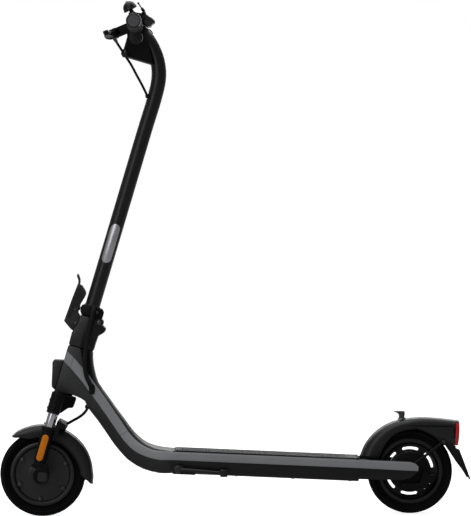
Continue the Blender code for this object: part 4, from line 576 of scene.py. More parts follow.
TYRE_PROFILE = mm(
    (79, 16), (81.7, 18.2), (83.2, 19), (84.2, 19), (85.7, 20.8), (89.7, 24.2), (92.7, 25), (95, 23.2),
    (98.5, 19), (100.7, 14.5), (102, 8), (102.5, 0),
)
TREAD_PITCHES = 44
TREAD_STEPS = 9
TREAD_EDGE = TYRE_RADIUS - 0.0062


def tread_depth(y, share):
    """Depth of the tread at a distance from the middle and a share of one tread pitch."""
    side = abs(y)
    zigzag = 0.0065 + 0.0012 * (1 if share < 0.5 else -1)
    if abs(side - zigzag) < 0.0011:
        return 0.0013
    lag = (share + side * 40.0) % 1.0
    if 0.0092 < side < 0.0215 and lag < 0.22:
        return 0.0012
    if side < 0.0048 and 0.45 < (share + y * 30.0) % 1.0 < 0.58:
        return 0.0008
    return 0.0


def build_tyre(end, centre):
    """Tyre with a block tread, a ribbed sidewall and a step at the bead."""
    half = [(p.x, p.z) for p in side_curve(TYRE_PROFILE, 4)]
    section = half + [(r, -y) for r, y in reversed(half[:-1])] + mm((78.3, -15.8), (78.3, 15.8))
    steps = TREAD_PITCHES * TREAD_STEPS
    points = []
    for radius, y in section:
        for k in range(steps):
            groove = tread_depth(y, k % TREAD_STEPS / TREAD_STEPS) if radius > TREAD_EDGE else 0.0
            z, x = polar(radius - groove, 360 * k / steps)
            points.append((x, y, z))
    shape = points, ring_faces(len(section), steps, True)
    add_mesh(end + "_tyre_tread", shape, TYRE, end + "_wheel", centre, stands_for=end + "_tyre")


HUB_SHELL = mm(
    (7.3, 23), (15, 23), (16.3, 22.2), (19.5, 17.6), (21.5, 17), (56, 17), (57.5, 18.2), (62, 18.4),
    (66, 17.4), (68, 15.8), (73, 15.6), (74.5, 17), (78.1, 17), (78.7, 16.4), (78.7, -16.4), (78.1, -17),
    (68, -17), (68, 13), (7.3, 13),
)
HUB_COVER = mm(
    (7.3, -13.3), (67.6, -13.3), (67.6, -17.3), (78.1, -17.3), (78.1, -19.1), (77.2, -21.3), (75.2, -22.7),
    (72.2, -23.3), (69.2, -23), (67.2, -21.9), (66, -20.1), (65.2, -17.5), (64, -16.3), (56, -16.1),
    (32, -16.7), (27.5, -17.7), (25, -19.9), (23.6, -20.7), (7.3, -20.9),
)
HUB_LOBE = mm((0, -19.7), (6, -19.7), (7.4, -18.5), (7.8, -14.3), (0, -14.3))
# Round pads on the hub's cover: radius of their circle, number and first angle
LOBES = (0.0598, 6, 24)


def build_hub():
    """Front hub motor: shell, dished cover with a raised lip, lobes, screws and valve."""
    add_turned("hub_motor_shell", HUB_SHELL, PAINT, "front_wheel", FRONT, 160, "motor_shell")
    add_turned("hub_motor_cover", HUB_COVER, HUB, "front_wheel", FRONT, 160, "hub_cover")
    lobes = [moved(turned_shape(HUB_LOBE, 28), Matrix.Translation(spot)) for spot in around(*LOBES)]
    add_mesh("hub_cover_lobes", joined(lobes), HUB, "front_wheel", FRONT)
    spots = [(spot, (0, s, 0), 0.0034) for s, y in ((-1, -0.0195), (1, 0.0182)) for spot in around(*LOBES, y)]
    add_screws("hub_cover_screws", spots, "front_wheel", FRONT)
    add_valve("front_valve", FRONT, "front_wheel", 205)


def add_valve(name, centre, body, degrees):
    """Tyre valve with a cap, in the dish of the rim on the right side."""
    x, z = polar(0.0705, degrees)
    stem = mm((0, 15), (3, 15), (3, 19.5), (4, 20), (4, 27.5), (3.2, 28.8), (0, 28.8))
    add_turned(name, stem, RUBBER, body, centre @ Matrix.Translation((x, 0.0, z)), 20)


RIM_PROFILE = mm(
    (5.3, 17), (16, 17), (18, 15.8), (22.5, 9.8), (26, 8), (63, 6.2), (66, 7), (67.8, 9.5), (68.6, 16),
    (70, 17), (77.2, 17), (78.7, 15.8), (78.7, -15.8), (77.2, -17), (70, -17), (68.6, -15.8), (66.8, -6.2),
    (64, -4.2), (49, -4), (47.8, -5.2), (47.5, -16.4), (46.8, -17), (40.6, -17), (40, -16.4), (40, 3),
    (14, 3), (14, -17), (5.3, -17),
)
SLOT_RADIUS = 0.0549
SLOT_HALF_WIDTH = 0.0033
SLOT_HALF_ANGLE = 17.5


def slot_outline(middle):
    """Long hole along a circle, with round ends."""
    low, high = middle - SLOT_HALF_ANGLE, middle + SLOT_HALF_ANGLE
    outline = []
    for sign, start, end, turn in ((1, low, high, 0), (-1, high, low, 180)):
        outline += arc((0, 0), SLOT_RADIUS + sign * SLOT_HALF_WIDTH, start, end, 14)
        outline += arc(polar(SLOT_RADIUS, end), SLOT_HALF_WIDTH, end + turn, end + turn + 180, 6)[1:-1]
    return outline


def build_rear_rim():
    """Slotted disc rim with the brake drum on its left."""
    rim = add_turned("slotted_rim", RIM_PROFILE, PAINT, "rear_wheel", REAR, 180)
    slots = [plate_shape(slot_outline(28 + 60 * index), -0.012, 0.014) for index in range(6)]
    cutter = add_mesh("slot_cutters", joined(slots), PAINT, None, REAR)
    cut = rim.modifiers.new("slots", "BOOLEAN")
    cut.solver = "EXACT"
    cut.object = cutter
    apply_modifiers(rim)
    bpy.data.objects.remove(cutter)
    round_edges(rim, 0.0004, 2, 40)
    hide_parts("rear_rim")
    spots = [(spot, (0, 1, 0), 0.0032) for spot in around(0.0300, 5, 0, 0.0078)]
    add_screws("rear_hub_screws", spots, "rear_wheel", REAR)
    add_valve("rear_valve", REAR, "rear_wheel", 148)


# Fenders


def fender_rows(outer, edge):
    return list(zip(side_curve(outer, 5), side_curve(edge, 5)))


def fender_section(reach, half, corner, drop, fold, depth, lean):
    """Half cross-section, from the lower edge to the middle: (distance from the top line, y)."""
    start = min(corner + drop, reach * 0.6)
    fold = min(max(fold, start + 0.0003), reach - 0.0024)
    section = []
    for share in (1.0, 0.66, 0.33):
        fall = fold + 0.0012 + (reach - fold - 0.0012) * share
        section.append((fall, half - depth - lean * share))
    section += [(fold + 0.0012, half - depth), (fold, half)]
    for step in range(9):
        c, s = polar(1.0, 90 * step / 8)
        section.append((start - (start - drop) * s, half - corner * (1 - c)))
    for share in (0.66, 0.33, 0.0):
        section.append((drop * share * share, (half - corner) * share))
    return section


def fender_shell(
    name, node, rows, half, corner, drop, wall, surface, body, place, crease=None, lean=0.0, gap=None
):
    """Curved skin across a wheel: rows run along it, and each row bends down at both sides.

    The crease, when there is one, gives for a row the height of the line below which the side
    steps in, and how deep the step is. The gap tells which places stay open.
    """
    sections = []
    for top, side in rows:
        down = (side - top).normalized()
        fold, depth = 0.0, 0.0
        if crease:
            height, depth = crease(top, side)
            if abs(down.z) > 0.2:
                fold = (height - top.z) / down.z
        bend = corner(top) if callable(corner) else corner
        column = fender_section((side - top).length, half, bend, drop, fold, depth, lean)
        left = [top + down * t + Vector((0.0, -y, 0.0)) for t, y in column]
        sections.append(left + [Vector((p.x, -p.y, p.z)) for p in reversed(left[:-1])])
    count = len(sections[0])
    points = [p for section in sections for p in section]
    faces = []
    for row in range(len(sections) - 1):
        for low in range(row * count, row * count + count - 1):
            quad = (low, low + 1, low + 1 + count, low + count)
            if gap is None or not gap(sum((points[i] for i in quad), Vector()) / 4):
                faces.append(quad)
    piece = add_mesh(name, (points, faces), surface, body, place, outward=False)
    centre = points[len(sections) // 2 * count + count // 2]
    probe = min(piece.data.polygons, key=lambda face: (face.center - place @ centre).length)
    outwards = probe.normal.dot(probe.center - place.translation) > 0
    skin = piece.modifiers.new("wall", "SOLIDIFY")
    skin.thickness = wall
    skin.offset = -1.0 if outwards else 1.0
    skin.use_quality_normals = True
    apply_modifiers(piece)
    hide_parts(node)


def add_beads(name, lines, radius, surface, body, place):
    """Thin round ribs along several lines, as one piece."""
    add_mesh(name, joined([sweep(line, radius, 8) for line in lines]), surface, body, place)


def fender_lip(rows, inset):
    """Lines along both lower edges of a fender."""
    y = FENDER_HALF_WIDTH - inset
    return [[Vector((s.x, side * y, s.z)) for _, s in rows] for side in (-1, 1)]


FRONT_FENDER_LINE = [
    (128.7, 0.1175, 127, 0.1120), (121, 0.1190, 119, 0.1020), (112, 0.1190, 109, 0.0920),
    (100, 0.1190, 99, 0.0910), (87, 0.1190, 87, 0.0890), (74, 0.1190, 74, 0.0870),
    (61, 0.1190, 61, 0.0865), (48, 0.1194, 48, 0.0865), (35, 0.1202, 35, 0.0868),
    (23, 0.1206, 23, 0.0890), (11, 0.1208, 11, 0.0915), (2, 0.1210, 3, 0.0935),
    (-4, 0.1225, -2, 0.0955), (-12, 0.1235, -7.5, 0.1060),
]
REAR_FENDER_OUTER = mm(
    (-121.1, 34.7), (-109.1, 63), (-90.6, 87.5), (-66.8, 106.9), (-38.9, 119.8), (-8.8, 125.7), (8.2, 128),
    (25.1, 129), (49.3, 128.1), (73.4, 126), (97.5, 123.2), (116.5, 120.4), (119.5, 119.6), (119.6, 115),
    (119.2, 96.8), (117.2, 79.9), (115.7, 61.8),
)
REAR_FENDER_EDGE = mm(
    (-78, 33), (-70, 50), (-64, 63), (-50.2, 81), (-35.7, 91.7), (-14.1, 99.9), (5.1, 102.2), (21.9, 99.7),
    (38.7, 92.4), (55.4, 82.7), (69.7, 70.6), (77, 65), (79.3, 63.3), (81.5, 62.2), (88, 60), (97, 57),
    (105.5, 54.6),
)
MUDFLAP_OUTER = mm(
    (104, 70), (108.5, 57), (118.7, 49.7), (121.1, 43.7), (129.4, 21.9), (136.5, 2.5), (144.8, -16.8),
)
MUDFLAP_EDGE = mm((85, 64), (93, 52), (101.8, 39), (107, 31), (116.1, 17.1), (130.4, -2.3), (141.2, -20.4))


def build_front_fender():
    """Front fender from its outer and edge lines: (degrees, radius) of each about the axle."""
    outer = [polar(radius, degrees) for degrees, radius, _, _ in FRONT_FENDER_LINE]
    edge = [polar(radius, degrees) for _, _, degrees, radius in FRONT_FENDER_LINE]
    rows = fender_rows(outer, edge)
    fender_shell(
        "front_fender_shell", "front_fender", rows, FENDER_HALF_WIDTH, 0.017, 0.0012, 0.0024, FENDER,
        "fork_lower", FRONT, lean=0.0015,
    )
    add_beads("front_fender_lip", fender_lip(rows, 0.0027), 0.0015, FENDER, "fork_lower", FRONT)


def rear_crease(x):
    """The crease falls a little to the rear, and the step below it grows over 28 mm."""
    share = min(max((x - 0.012) / 0.028, 0.0), 1.0)
    return 0.1105 - (x - 0.029) * 0.0158, 0.0032 * share * share * (3 - 2 * share)


def in_lens(point):
    """Whether a point of the rear fender lies where the tail light goes."""
    return 0.0588 < point.z < 0.1158 and point.x > 0.1065 + (point.z - 0.0588) * 0.07


def rear_corner(top):
    """The fender's section is rounder in front, and tighter above the crease."""
    return 0.024 - 0.010 * min(max((top.x + 0.07) / 0.08, 0.0), 1.0)


def crease_shadow_radius(share):
    """The painted shadow line under the crease fades in over its first third."""
    return 0.0003 + 0.0012 * min(1.0, share * 3)


def build_rear_fender():
    rows = fender_rows(REAR_FENDER_OUTER, REAR_FENDER_EDGE)
    fender_shell(
        "rear_fender_shell", "rear_fender", rows, FENDER_HALF_WIDTH, rear_corner, 0.0012, 0.0024, FENDER,
        "frame", REAR, lambda top, side: rear_crease(top.x + (side.x - top.x) * 0.5), 0.003, in_lens,
    )
    # Painted shade: near-black beads in the step under the crease stand for the shadow of its ledge
    grooves_and_shadow_lines = []
    for side in (-1, 1):
        line = []
        for x in (-0.006 + 0.0052 * step for step in range(22)):
            height, depth = rear_crease(x)
            line.append(Vector((x, side * (FENDER_HALF_WIDTH - 0.45 * depth - 0.0004), height - 0.0010)))
        grooves_and_shadow_lines.append(line)
    add_beads("rear_fender_crease_shadow", grooves_and_shadow_lines, crease_shadow_radius, SEAM_AND_SHADOW, "frame", REAR)
    front_rows = [row for row in rows if row[1].x < 0.01]
    add_beads("rear_fender_lip", fender_lip(front_rows, 0.0042), 0.0015, FENDER, "frame", REAR)
    spots = both_sides(0.0790, FENDER_HALF_WIDTH + 0.0046, 0.0715, 0.0036)
    spots += [((-0.0165, y, 0.1262), (-0.1, 0, 1), 0.0030) for y in (-0.0125, 0.0125)]
    add_screws("rear_fender_screws", spots, "frame", REAR)


def build_mudflap():
    rows = fender_rows(MUDFLAP_OUTER, MUDFLAP_EDGE)
    half = FENDER_HALF_WIDTH - 0.0028
    fender_shell("mudflap_skin", "rear_mudflap", rows, half, 0.006, 0.0006, 0.0021, RUBBER, "frame", REAR)
    ribs = []
    for y in (-0.014, 0.0, 0.014):
        ribs.append([t + (t - s).normalized() * 0.0001 + Vector((0, y, 0)) for t, s in rows[10:-3]])
    add_beads("mudflap_ribs", ribs, 0.0009, RUBBER, "frame", REAR)


# Cables


BRAKE_CABLE = mm(
    (-48, -75.5, -32), (-41, -65, -43), (-31, -47, -58), (-22.8, -37, -71), (-10.8, -29, -89),
    (2.4, -24, -114), (13, -20, -133.5), (22.2, -16.5, -152), (27.8, -13, -165),
)
MOTOR_CABLE = mm(
    (58.4, 0, 182.2), (56.9, -2, 174.5), (51.9, -5, 163.7), (42.7, -9, 152.2), (33.6, -11, 143.2),
    (23.6, -12, 132.6),
)
HEAD_CABLE = mm(
    (118.5, -40.5, 211), (114, -40.5, 221), (108.5, -40.5, 234), (104.8, -40.5, 252), (104.2, -40.5, 272),
    (105.6, -37.5, 292), (108.5, -33.8, 312), (112, -32.8, 330), (116, -32.8, 348), (120, -32.8, 366),
)


def build_cable(name, node, line, diameter, body, other=None, ribbed=False):
    """Round cable along a line, with both ends at what holds them."""
    radius = diameter / 2

    def rib(share):
        return radius * (1.0 if round(share * (len(line) - 1)) % 2 else 0.88)

    shape = sweep(line, rib if ribbed else radius)
    cable = add_mesh(name, shape, RUBBER, None if other else body, sharp=60.0)
    if other:
        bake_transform(cable)
    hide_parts(node)


def build_cables():
    line = [BAR @ p for p in smooth_line(BRAKE_CABLE, 5)]
    build_cable("brake_cable_outer", "brake_cable", line, 0.006, "stem")
    line = [FRONT @ p for p in smooth_line(HEAD_CABLE, 14)]
    build_cable("head_cable_outer", "head_cable", line, 0.011, "frame", "steering", True)
    line = [STEERING @ p for p in smooth_line(MOTOR_CABLE, 5)]
    build_cable("motor_cable_outer", "motor_cable", line, 0.0068, "frame", "steering")


# Guides around a cable: name, material, body, frame, place in it, direction and turned profile
CABLE_GUIDES = (
    ("stem_grommet", RUBBER, "stem", BAR, (0.0268, -0.0137, -0.1625), (0.30, 0.13, -0.95), mm(
        (3.2, -2.2), (4.4, -1.8), (4.8, 0.6), (4.8, 5), (3.2, 5.5),
    )),
    ("brake_cable_ferrule", STEEL, "stem", BAR, BRAKE_CABLE[0], (0.45, 0.68, -0.58), mm(
        (0, -6), (3.8, -6), (4.2, -5.2), (4.2, 5), (3.4, 8.5), (0, 8.5),
    )),
    ("cable_guide", PLASTIC, "stem", BAR, (-0.0268, -0.0418, -0.0645), (0.42, 0.45, -0.79), mm(
        (3.3, -5.8), (6.2, -5.8), (6.8, -5), (6.8, 5), (6.2, 5.8), (3.3, 5.8),
    )),
    ("motor_cable_grommet", RUBBER, "frame", STEERING, (0.0586, 0.0003, 0.1832), (0.14, 0.20, 0.97), mm(
        (3.6, -3), (6.4, -2.6), (7, 0), (7, 5), (3.6, 5),
    )),
)


def add_sleeves():
    """Entries and guides of the cables: boots on base and collar, grommets, clips and ferrules."""
    boot = [Vector(p) for p in mm((8.1, -32.8, 383.5), (7.7, -32.8, 388), (7.3, -32.8, 392.6))]
    add_mesh("cable_boot", sweep(boot, 0.0062), RUBBER, "steering", STEERING)
    upper = smooth_line(mm((7.3, -32.2, 395.6), (6.6, -31.2, 403), (5.8, -28.8, 411), (5.2, -24, 418)), 8)
    shape = sweep(upper, lambda share: 0.0058 - 0.0010 * share)
    add_mesh("cable_boot_upper", shape, RUBBER, "stem", STEERING)
    for name, surface, body, place, point, direction, profile in CABLE_GUIDES:
        turn = Vector(direction).to_track_quat("Y", "Z").to_matrix().to_4x4()
        add_turned(name, profile, surface, body, Matrix.Translation(place @ Vector(point)) @ turn, 32)
    arm = plate_shape(rounded_box((-0.0270, -0.0585), 0.011, 0.013, 0.003, 15), -0.0395, -0.0235)
    add_mesh("cable_guide_arm", arm, PLASTIC, "stem", BAR, rounding=0.0005)
    saddle = plate_shape(rounded_box((0.0205, 0.1302), 0.0085, 0.0060, 0.0018, -24), -0.0195, -0.0045)
    add_mesh("motor_cable_clip", saddle, PLASTIC, "fork_lower", STEERING, rounding=0.0005)


# Fork


AXLE_FACE = LEG_Y + LEG_RADIUS + 0.0028
AXLE_NUT = rounded_box((0.0030, -0.0020), 0.0215, 0.0215, 0.0042, 12)
AXLE_CAP = mm((0, 72.1), (20.6, 72.1), (20.4, 73.3), (19.2, 75.1), (17.6, 75.7), (16, 75.2), (0, 75.2))
LEG_SHOULDER = mm(
    (-31, 16.5), (-28.5, 21.5), (-22, 26.2), (4, 30), (11, 24.5), (13.6, 17.1), (8, 12.5), (-1, 9.3),
    (-9.8, 8.8), (-19.8, 11.5), (-26.5, 13.8),
)
SEAL_LIP = mm((10.6, 111.2), (16.6, 111.2), (18, 112.4), (17.6, 114.3), (13.6, 115.6), (10.6, 115.6))
CUP_RING = mm((10.6, 148.8), (15.2, 148.8), (15.8, 149.7), (15.8, 151.2), (10.6, 151.2))
LOWER_BEARING = mm((19.2, 196.1), (24.8, 196.1), (25.6, 196.8), (25.6, 198), (19.2, 198.3))


def build_fork():
    """Dust seals, foot plates, axle covers and nuts, and the crown's rings and screws."""
    tubes = [Matrix.Translation((STANCHION_X, side * LEG_Y, 0.0)) @ UPRIGHT for side in (-1, 1)]
    seals = joined([moved(turned_shape(SEAL_LIP, 48), tube) for tube in tubes])
    add_mesh("dust_seals", seals, RUBBER, "fork_lower", STEERING)
    rings = joined([moved(turned_shape(CUP_RING, 48), tube) for tube in tubes])
    add_mesh("cup_rings", rings, STEEL, "steering", STEERING)
    feet = plate_pair(LEG_SHOULDER, LEG_Y + 0.005, LEG_Y + LEG_RADIUS + 0.0016)
    round_edges(add_mesh("leg_shoulders", feet, BLACK, "fork_lower", STEERING), 0.0012, 3)
    caps = joined([turned_shape([(r, side * y) for r, y in AXLE_CAP], 64) for side in (-1, 1)])
    covered = "axle_cap_left axle_cap_right"
    add_mesh("axle_covers", caps, BLACK, "fork_lower", STEERING, stands_for=covered)
    nuts = plate_pair(AXLE_NUT, AXLE_FACE, AXLE_FACE + 0.0018)
    add_mesh("axle_nut_covers", nuts, CAP, "fork_lower", STEERING, rounding=0.0006)
    add_turned("lower_bearing", LOWER_BEARING, STEEL, "steering", STEERING @ UPRIGHT, 64)
    spots = [((CUP_FRONT, y, z), (-1, 0, 0), 0.0030) for y in (-LEG_Y, LEG_Y) for z in (0.160, 0.180)]
    add_screws("crown_clamp_screws", spots, "steering", STEERING)


# Fold and stem


STEM_LINE = mm(
    (0.9, 928.6), (0, 963.7), (-2.4, 988), (-8.5, 1011.3), (-18.9, 1033.5), (-33.8, 1054.2),
    (-51.6, 1071.6), (-70.3, 1083.6), (-90.8, 1091.6),
)
COLLAR_LIP = mm((17.8, 420.3), (19.6, 420.3), (20, 421.4), (19, 422.6), (17.8, 422.6))
BASE_GROOVE = mm((2.8, 321.2), (4, 321.2), (0.5, 351.3), (-0.3, 358), (-1.5, 358), (-0.7, 351.3))
LATCH_PANEL = mm(
    (-50.8, 379), (-49.4, 428), (-46.6, 456), (-40, 456), (-30, 447), (-29.2, 440), (-33.6, 424),
    (-35.2, 416), (-40, 390), (-42, 378),
)


def build_stem():
    bend = side_curve(STEM_LINE, 8)
    line = [Vector((0.0, 0.0, 0.3979 + 0.048 * step)) for step in range(11)] + bend[:-7]
    tube = sweep(line, STEM_RADIUS, 64, 0.0)
    add_mesh("stem_tube_fine", tube, PAINT, "stem", STEERING, 50, stands_for="stem_tube")
    add_turned("collar_lip", COLLAR_LIP, PLASTIC, "stem", STEERING @ UPRIGHT, 64)


def add_fold_details():
    """Pins, screws, grooves and lever trim around the fold."""
    half = BASE_HALF_WIDTH
    spots = both_sides(-0.0211, half, 0.3477, 0.0030) + both_sides(0.0120, half, 0.3300, 0.0034)
    spots += both_sides(0.0279, half - 0.0018, 0.3879, 0.0056)
    add_screws("base_screws", spots, "steering", STEERING)
    spots = both_sides(0.0155, COLLAR_HALF_WIDTH - 0.0003, 0.4095, 0.0036)
    add_screws("collar_screws", spots, "stem", STEERING)
    spots = both_sides(-0.0260, 0.0130, 0.3701, 0.0040) + both_sides(-0.0365, 0.0130, 0.4010, 0.0030)
    add_screws("latch_pins", spots, "latch", STEERING)
    outlines = [BASE_GROOVE]
    for z in (0.3168, 0.3934):
        outlines.append([(-0.0215, z), (0.0200, z), (0.0200, z + 0.0009), (-0.0215, z + 0.0009)])
    grooves_and_shadow_lines = joined([plate_pair(outline, half - 0.0004, half + 0.00012) for outline in outlines])
    add_mesh("base_grooves", grooves_and_shadow_lines, SEAM_AND_SHADOW, "steering", STEERING)
    panels = plate_pair(LATCH_PANEL, 0.0126, 0.0134)
    add_mesh("latch_side_panels", panels, FENDER, "latch", STEERING, rounding=0.0005)


# Side trims


# Lower and upper edge along the head and neck, then (x, low, high) along the deck
TRIM_ROWS = mm(
    (53.3, 271.2, 62, 295.2), (71.2, 253.1, 80.4, 276.6), (84.6, 236.9, 96.1, 258),
    (98.3, 220.4, 112.6, 239.1), (113.5, 198.7, 130.6, 213.3), (134.4, 170.2, 153.6, 181.3),
    (148.3, 150.2, 167.8, 159.9), (162.1, 130.2, 181.3, 140.1), (178.4, 105.6, 197.2, 116.9),
    (192.5, 85.5, 211.1, 96.8), (209.8, 65.9, 228.6, 78.8), (228.9, 51.5, 247.2, 66.7),
    (256.2, 40.3, 267.4, 58.6), (284, 34.5, 292.1, 55.2),
)
TRIM_TAIL = mm(
    (-574, -21.3, -1.8), (-562, -21.3, -1.8), (-124.4, -21.3, -1.8), (-2, -22.6, -1.8), (9, -22.5, -5.2),
    (16.5, -22.2, -11.2),
)
TRIM_SEAMS = Vector((0.0722, 0, 0.2693)), Vector((0.1880, 0, 0.0933))
# Painted shade: outline of a thin black sheet on the head's sides, where the recess behind the head cable is
# in shade
CABLE_RECESS_SHADE = mm(
    (93, 301), (117.2, 293.4), (118, 267.8), (121.5, 243.8), (127, 218), (119, 223), (112, 240),
    (101.4, 253.6), (96.8, 277.6),
)
# Crowned section: share of the trim's height, and how far it stands out
TRIM_CROWN = (
    (0.0, 0.0003), (0.0, 0.0009), (0.05, 0.0015), (0.25, 0.0018), (0.5, 0.0019), (0.75, 0.0018),
    (0.95, 0.0015), (1.0, 0.0009), (1.0, 0.0003),
)


def trim_edges():
    """Lower and upper edge of the trim, from the front axle's frame."""
    lows = side_curve([row[:2] for row in TRIM_ROWS], 6)
    highs = side_curve([row[2:] for row in TRIM_ROWS], 6)
    place = FRONT.inverted() @ DECK
    for x, low, high in TRIM_TAIL:
        lows.append(place @ Vector((x, 0.0, low)))
        highs.append(place @ Vector((x, 0.0, high)))
    return list(zip(lows, highs))


def crowned(low, high):
    """Points across the trim's left half, from its lower edge to its upper one."""
    points = []
    for share, height in TRIM_CROWN:
        point = low.lerp(high, share)
        flare = min(max((point.x - 0.165) / (0.3137 - 0.165), 0.0), 1.0)
        flare *= flare * (3 - 2 * flare)
        point.y = HEAD_HALF_WIDTH + (DECK_HALF_WIDTH - HEAD_HALF_WIDTH) * flare + height
        points.append(point)
    return points


def trim_seam(edges, spot, side):
    """Thin dark band across the trim, at its row nearest to a spot."""
    row = min(range(len(edges) - 1), key=lambda i: (edges[i][0].lerp(edges[i][1], 0.5) - spot).length)
    step = (edges[row + 1][0] - edges[row][0]).normalized() * 0.00035
    points = []
    for point in crowned(*edges[row]):
        for sign, depth in ((-1, -0.0006), (-1, 0.0002), (1, 0.0002), (1, -0.0006)):
            place = point + step * sign
            points.append((place.x, side * (point.y + depth), place.z))
    return points, tube_faces(len(TRIM_CROWN), 4)


def build_side_trims():
    """Grey bands along the head, neck and deck with their seams, and a black sheet of painted shade for the
    recess behind the cable.
    """
    edges = trim_edges()
    for side, name in ((-1, "left"), (1, "right")):
        points = [Vector((p.x, side * p.y, p.z)) for low, high in edges for p in crowned(low, high)]
        shape = points, tube_faces(len(edges), len(TRIM_CROWN))
        covered = "side_trim_" + name
        add_mesh("side_trim_fine_" + name, shape, TRIM, "frame", FRONT, 50, stands_for=covered)
    seams = [trim_seam(edges, spot, side) for spot in TRIM_SEAMS for side in (-1, 1)]
    add_mesh("trim_seams", joined(seams), SEAM_AND_SHADOW, "frame", FRONT)
    # Painted shade: a black sheet where the recess behind the cable is in shade
    recess_shade = plate_pair(CABLE_RECESS_SHADE, HEAD_HALF_WIDTH - 0.0003, HEAD_HALF_WIDTH + 0.0002)
    add_mesh("cable_recess_shade", recess_shade, BLACK, "frame", FRONT)


# Deck


MAT_PITCH = 0.0125
MAT_ROWS = 8


def mat_diamond(x, y):
    """One raised diamond of the mat, a little smaller at its top."""
    corners = ((-0.0050, 0), (0, -0.0042), (0.0050, 0), (0, 0.0042))
    levels = ((0.0018, 1.0), (0.00265, 0.72))
    points = [(x + dx * share, y + dy * share, z) for z, share in levels for dx, dy in corners]
    return points, tube_faces(2, 4)


def build_deck_details():
    """Staggered diamonds of the mat, the lip behind it and the bottom cover's screws."""
    blocks = []
    for column in range(int((DECK_REAR - DECK_FRONT - 0.040) / MAT_PITCH)):
        for row in range(-MAT_ROWS // 2, MAT_ROWS // 2 + 1):
            x = DECK_FRONT + 0.020 + MAT_PITCH * (column + 0.5 * (row % 2))
            if abs(row) * MAT_PITCH <= DECK_HALF_WIDTH - 0.012:
                blocks.append(mat_diamond(x, row * MAT_PITCH))
    add_mesh("deck_mat_pattern", joined(blocks), MAT, "frame", DECK, 20)
    lip = mm((-6.8, -1), (2.2, -1), (2.2, 1.2), (0.8, 2.2), (-6, 2.4), (-6.8, 1.8))
    half = DECK_HALF_WIDTH - 0.006
    edge = plate_shape([(DECK_REAR + x, z) for x, z in lip], -half, half)
    add_mesh("deck_rear_lip", edge, RUBBER, "frame", DECK, rounding=0.0003)
    places = (DECK_FRONT + 0.020, DECK_FRONT + 0.155, DECK_FRONT + 0.290, DECK_REAR - 0.020)
    spots = [((x, y, -DECK_THICKNESS), (0, 0, -1), 0.0034) for x in places for y in (-0.049, 0.049)]
    add_screws("bottom_cover_screws", spots, "frame", DECK)


# Handlebar


GRIP_FLANGE = mm((11.2, 105), (18.7, 105), (19.3, 105.8), (19.3, 109.2), (17.9, 110.8))
GRIP_RIB = mm((18.1, 0), (17.3, 0.3), (17.3, 1.2), (18.1, 1.5))
GRIP_TAIL = mm((18.1, 218.5), (17.2, 221.3), (15.7, 222.5), (15, 222.3), (14.7, 220.9), (11.2, 220.9))
GRIP_PLUG = mm((0, 222), (14, 221.7), (14.5, 221.1), (14.5, 219.5), (0, 219.5))


def build_grips():
    """Ribbed grips with a flange, an end plug and the snap ring at its edge."""
    profile = list(GRIP_FLANGE)
    y = GRIP_START + 0.0100
    while y < BAR_END - 0.0140:
        profile += [(radius, y + step) for radius, step in GRIP_RIB]
        y += 0.0042
    profile += GRIP_TAIL
    plugs = []
    for side, name in ((-1, "left"), (1, "right")):
        shape = turned_shape([(r, side * y) for r, y in profile], 72)
        add_mesh("grip_ribbed_" + name, shape, GRIP, "stem", BAR, 30, stands_for="grip_" + name)
        plugs.append(turned_shape([(r, side * y) for r, y in GRIP_PLUG], 48))
    # The plugs' lighter grey is painted light
    add_mesh("grip_end_plugs", joined(plugs), GRIP_END_PAINTED_LIGHT, "stem", BAR, 30)
    ring = arc((0, 0), 0.0183, -52, 52, 20) + arc((0, 0), 0.0166, 46, -46, 20)
    rings = plate_pair(ring, BAR_END - 0.0044, BAR_END + 0.0002)
    add_mesh("grip_snap_rings", rings, CHROME, "stem", BAR, rounding=0.0003)


BELL_TURN = Matrix.Rotation(-BELL_TILT, 4, "Y") @ UPRIGHT
BELL_PLACE = BAR @ Matrix.Translation((-0.0089, BRAKE_Y, 0.0368)) @ BELL_TURN
LAMP = STEERING @ Matrix.Translation((-0.0996, 0.0, 1.0435)) @ Matrix.Rotation(math.pi / 2, 4, "Z")
BOSS = BAR @ Matrix.Translation((0.0020, 0.0, -0.0235))
BELL_TOP = [(BELL_RADIUS * r, 0.0045 + 0.0175 * z) for r, z in arc((0.0, 0.0), 1.0, 86, 8, 14)]
BELL_DOME = mm((0, 22)) + BELL_TOP + mm(
    (16.5, 4.8), (17.1, 3.6), (17.1, 1.2), (15.3, 1.2), (15, 6), (12, 13), (4.5, 17), (4.2, 6.6), (0, 6.6),
)

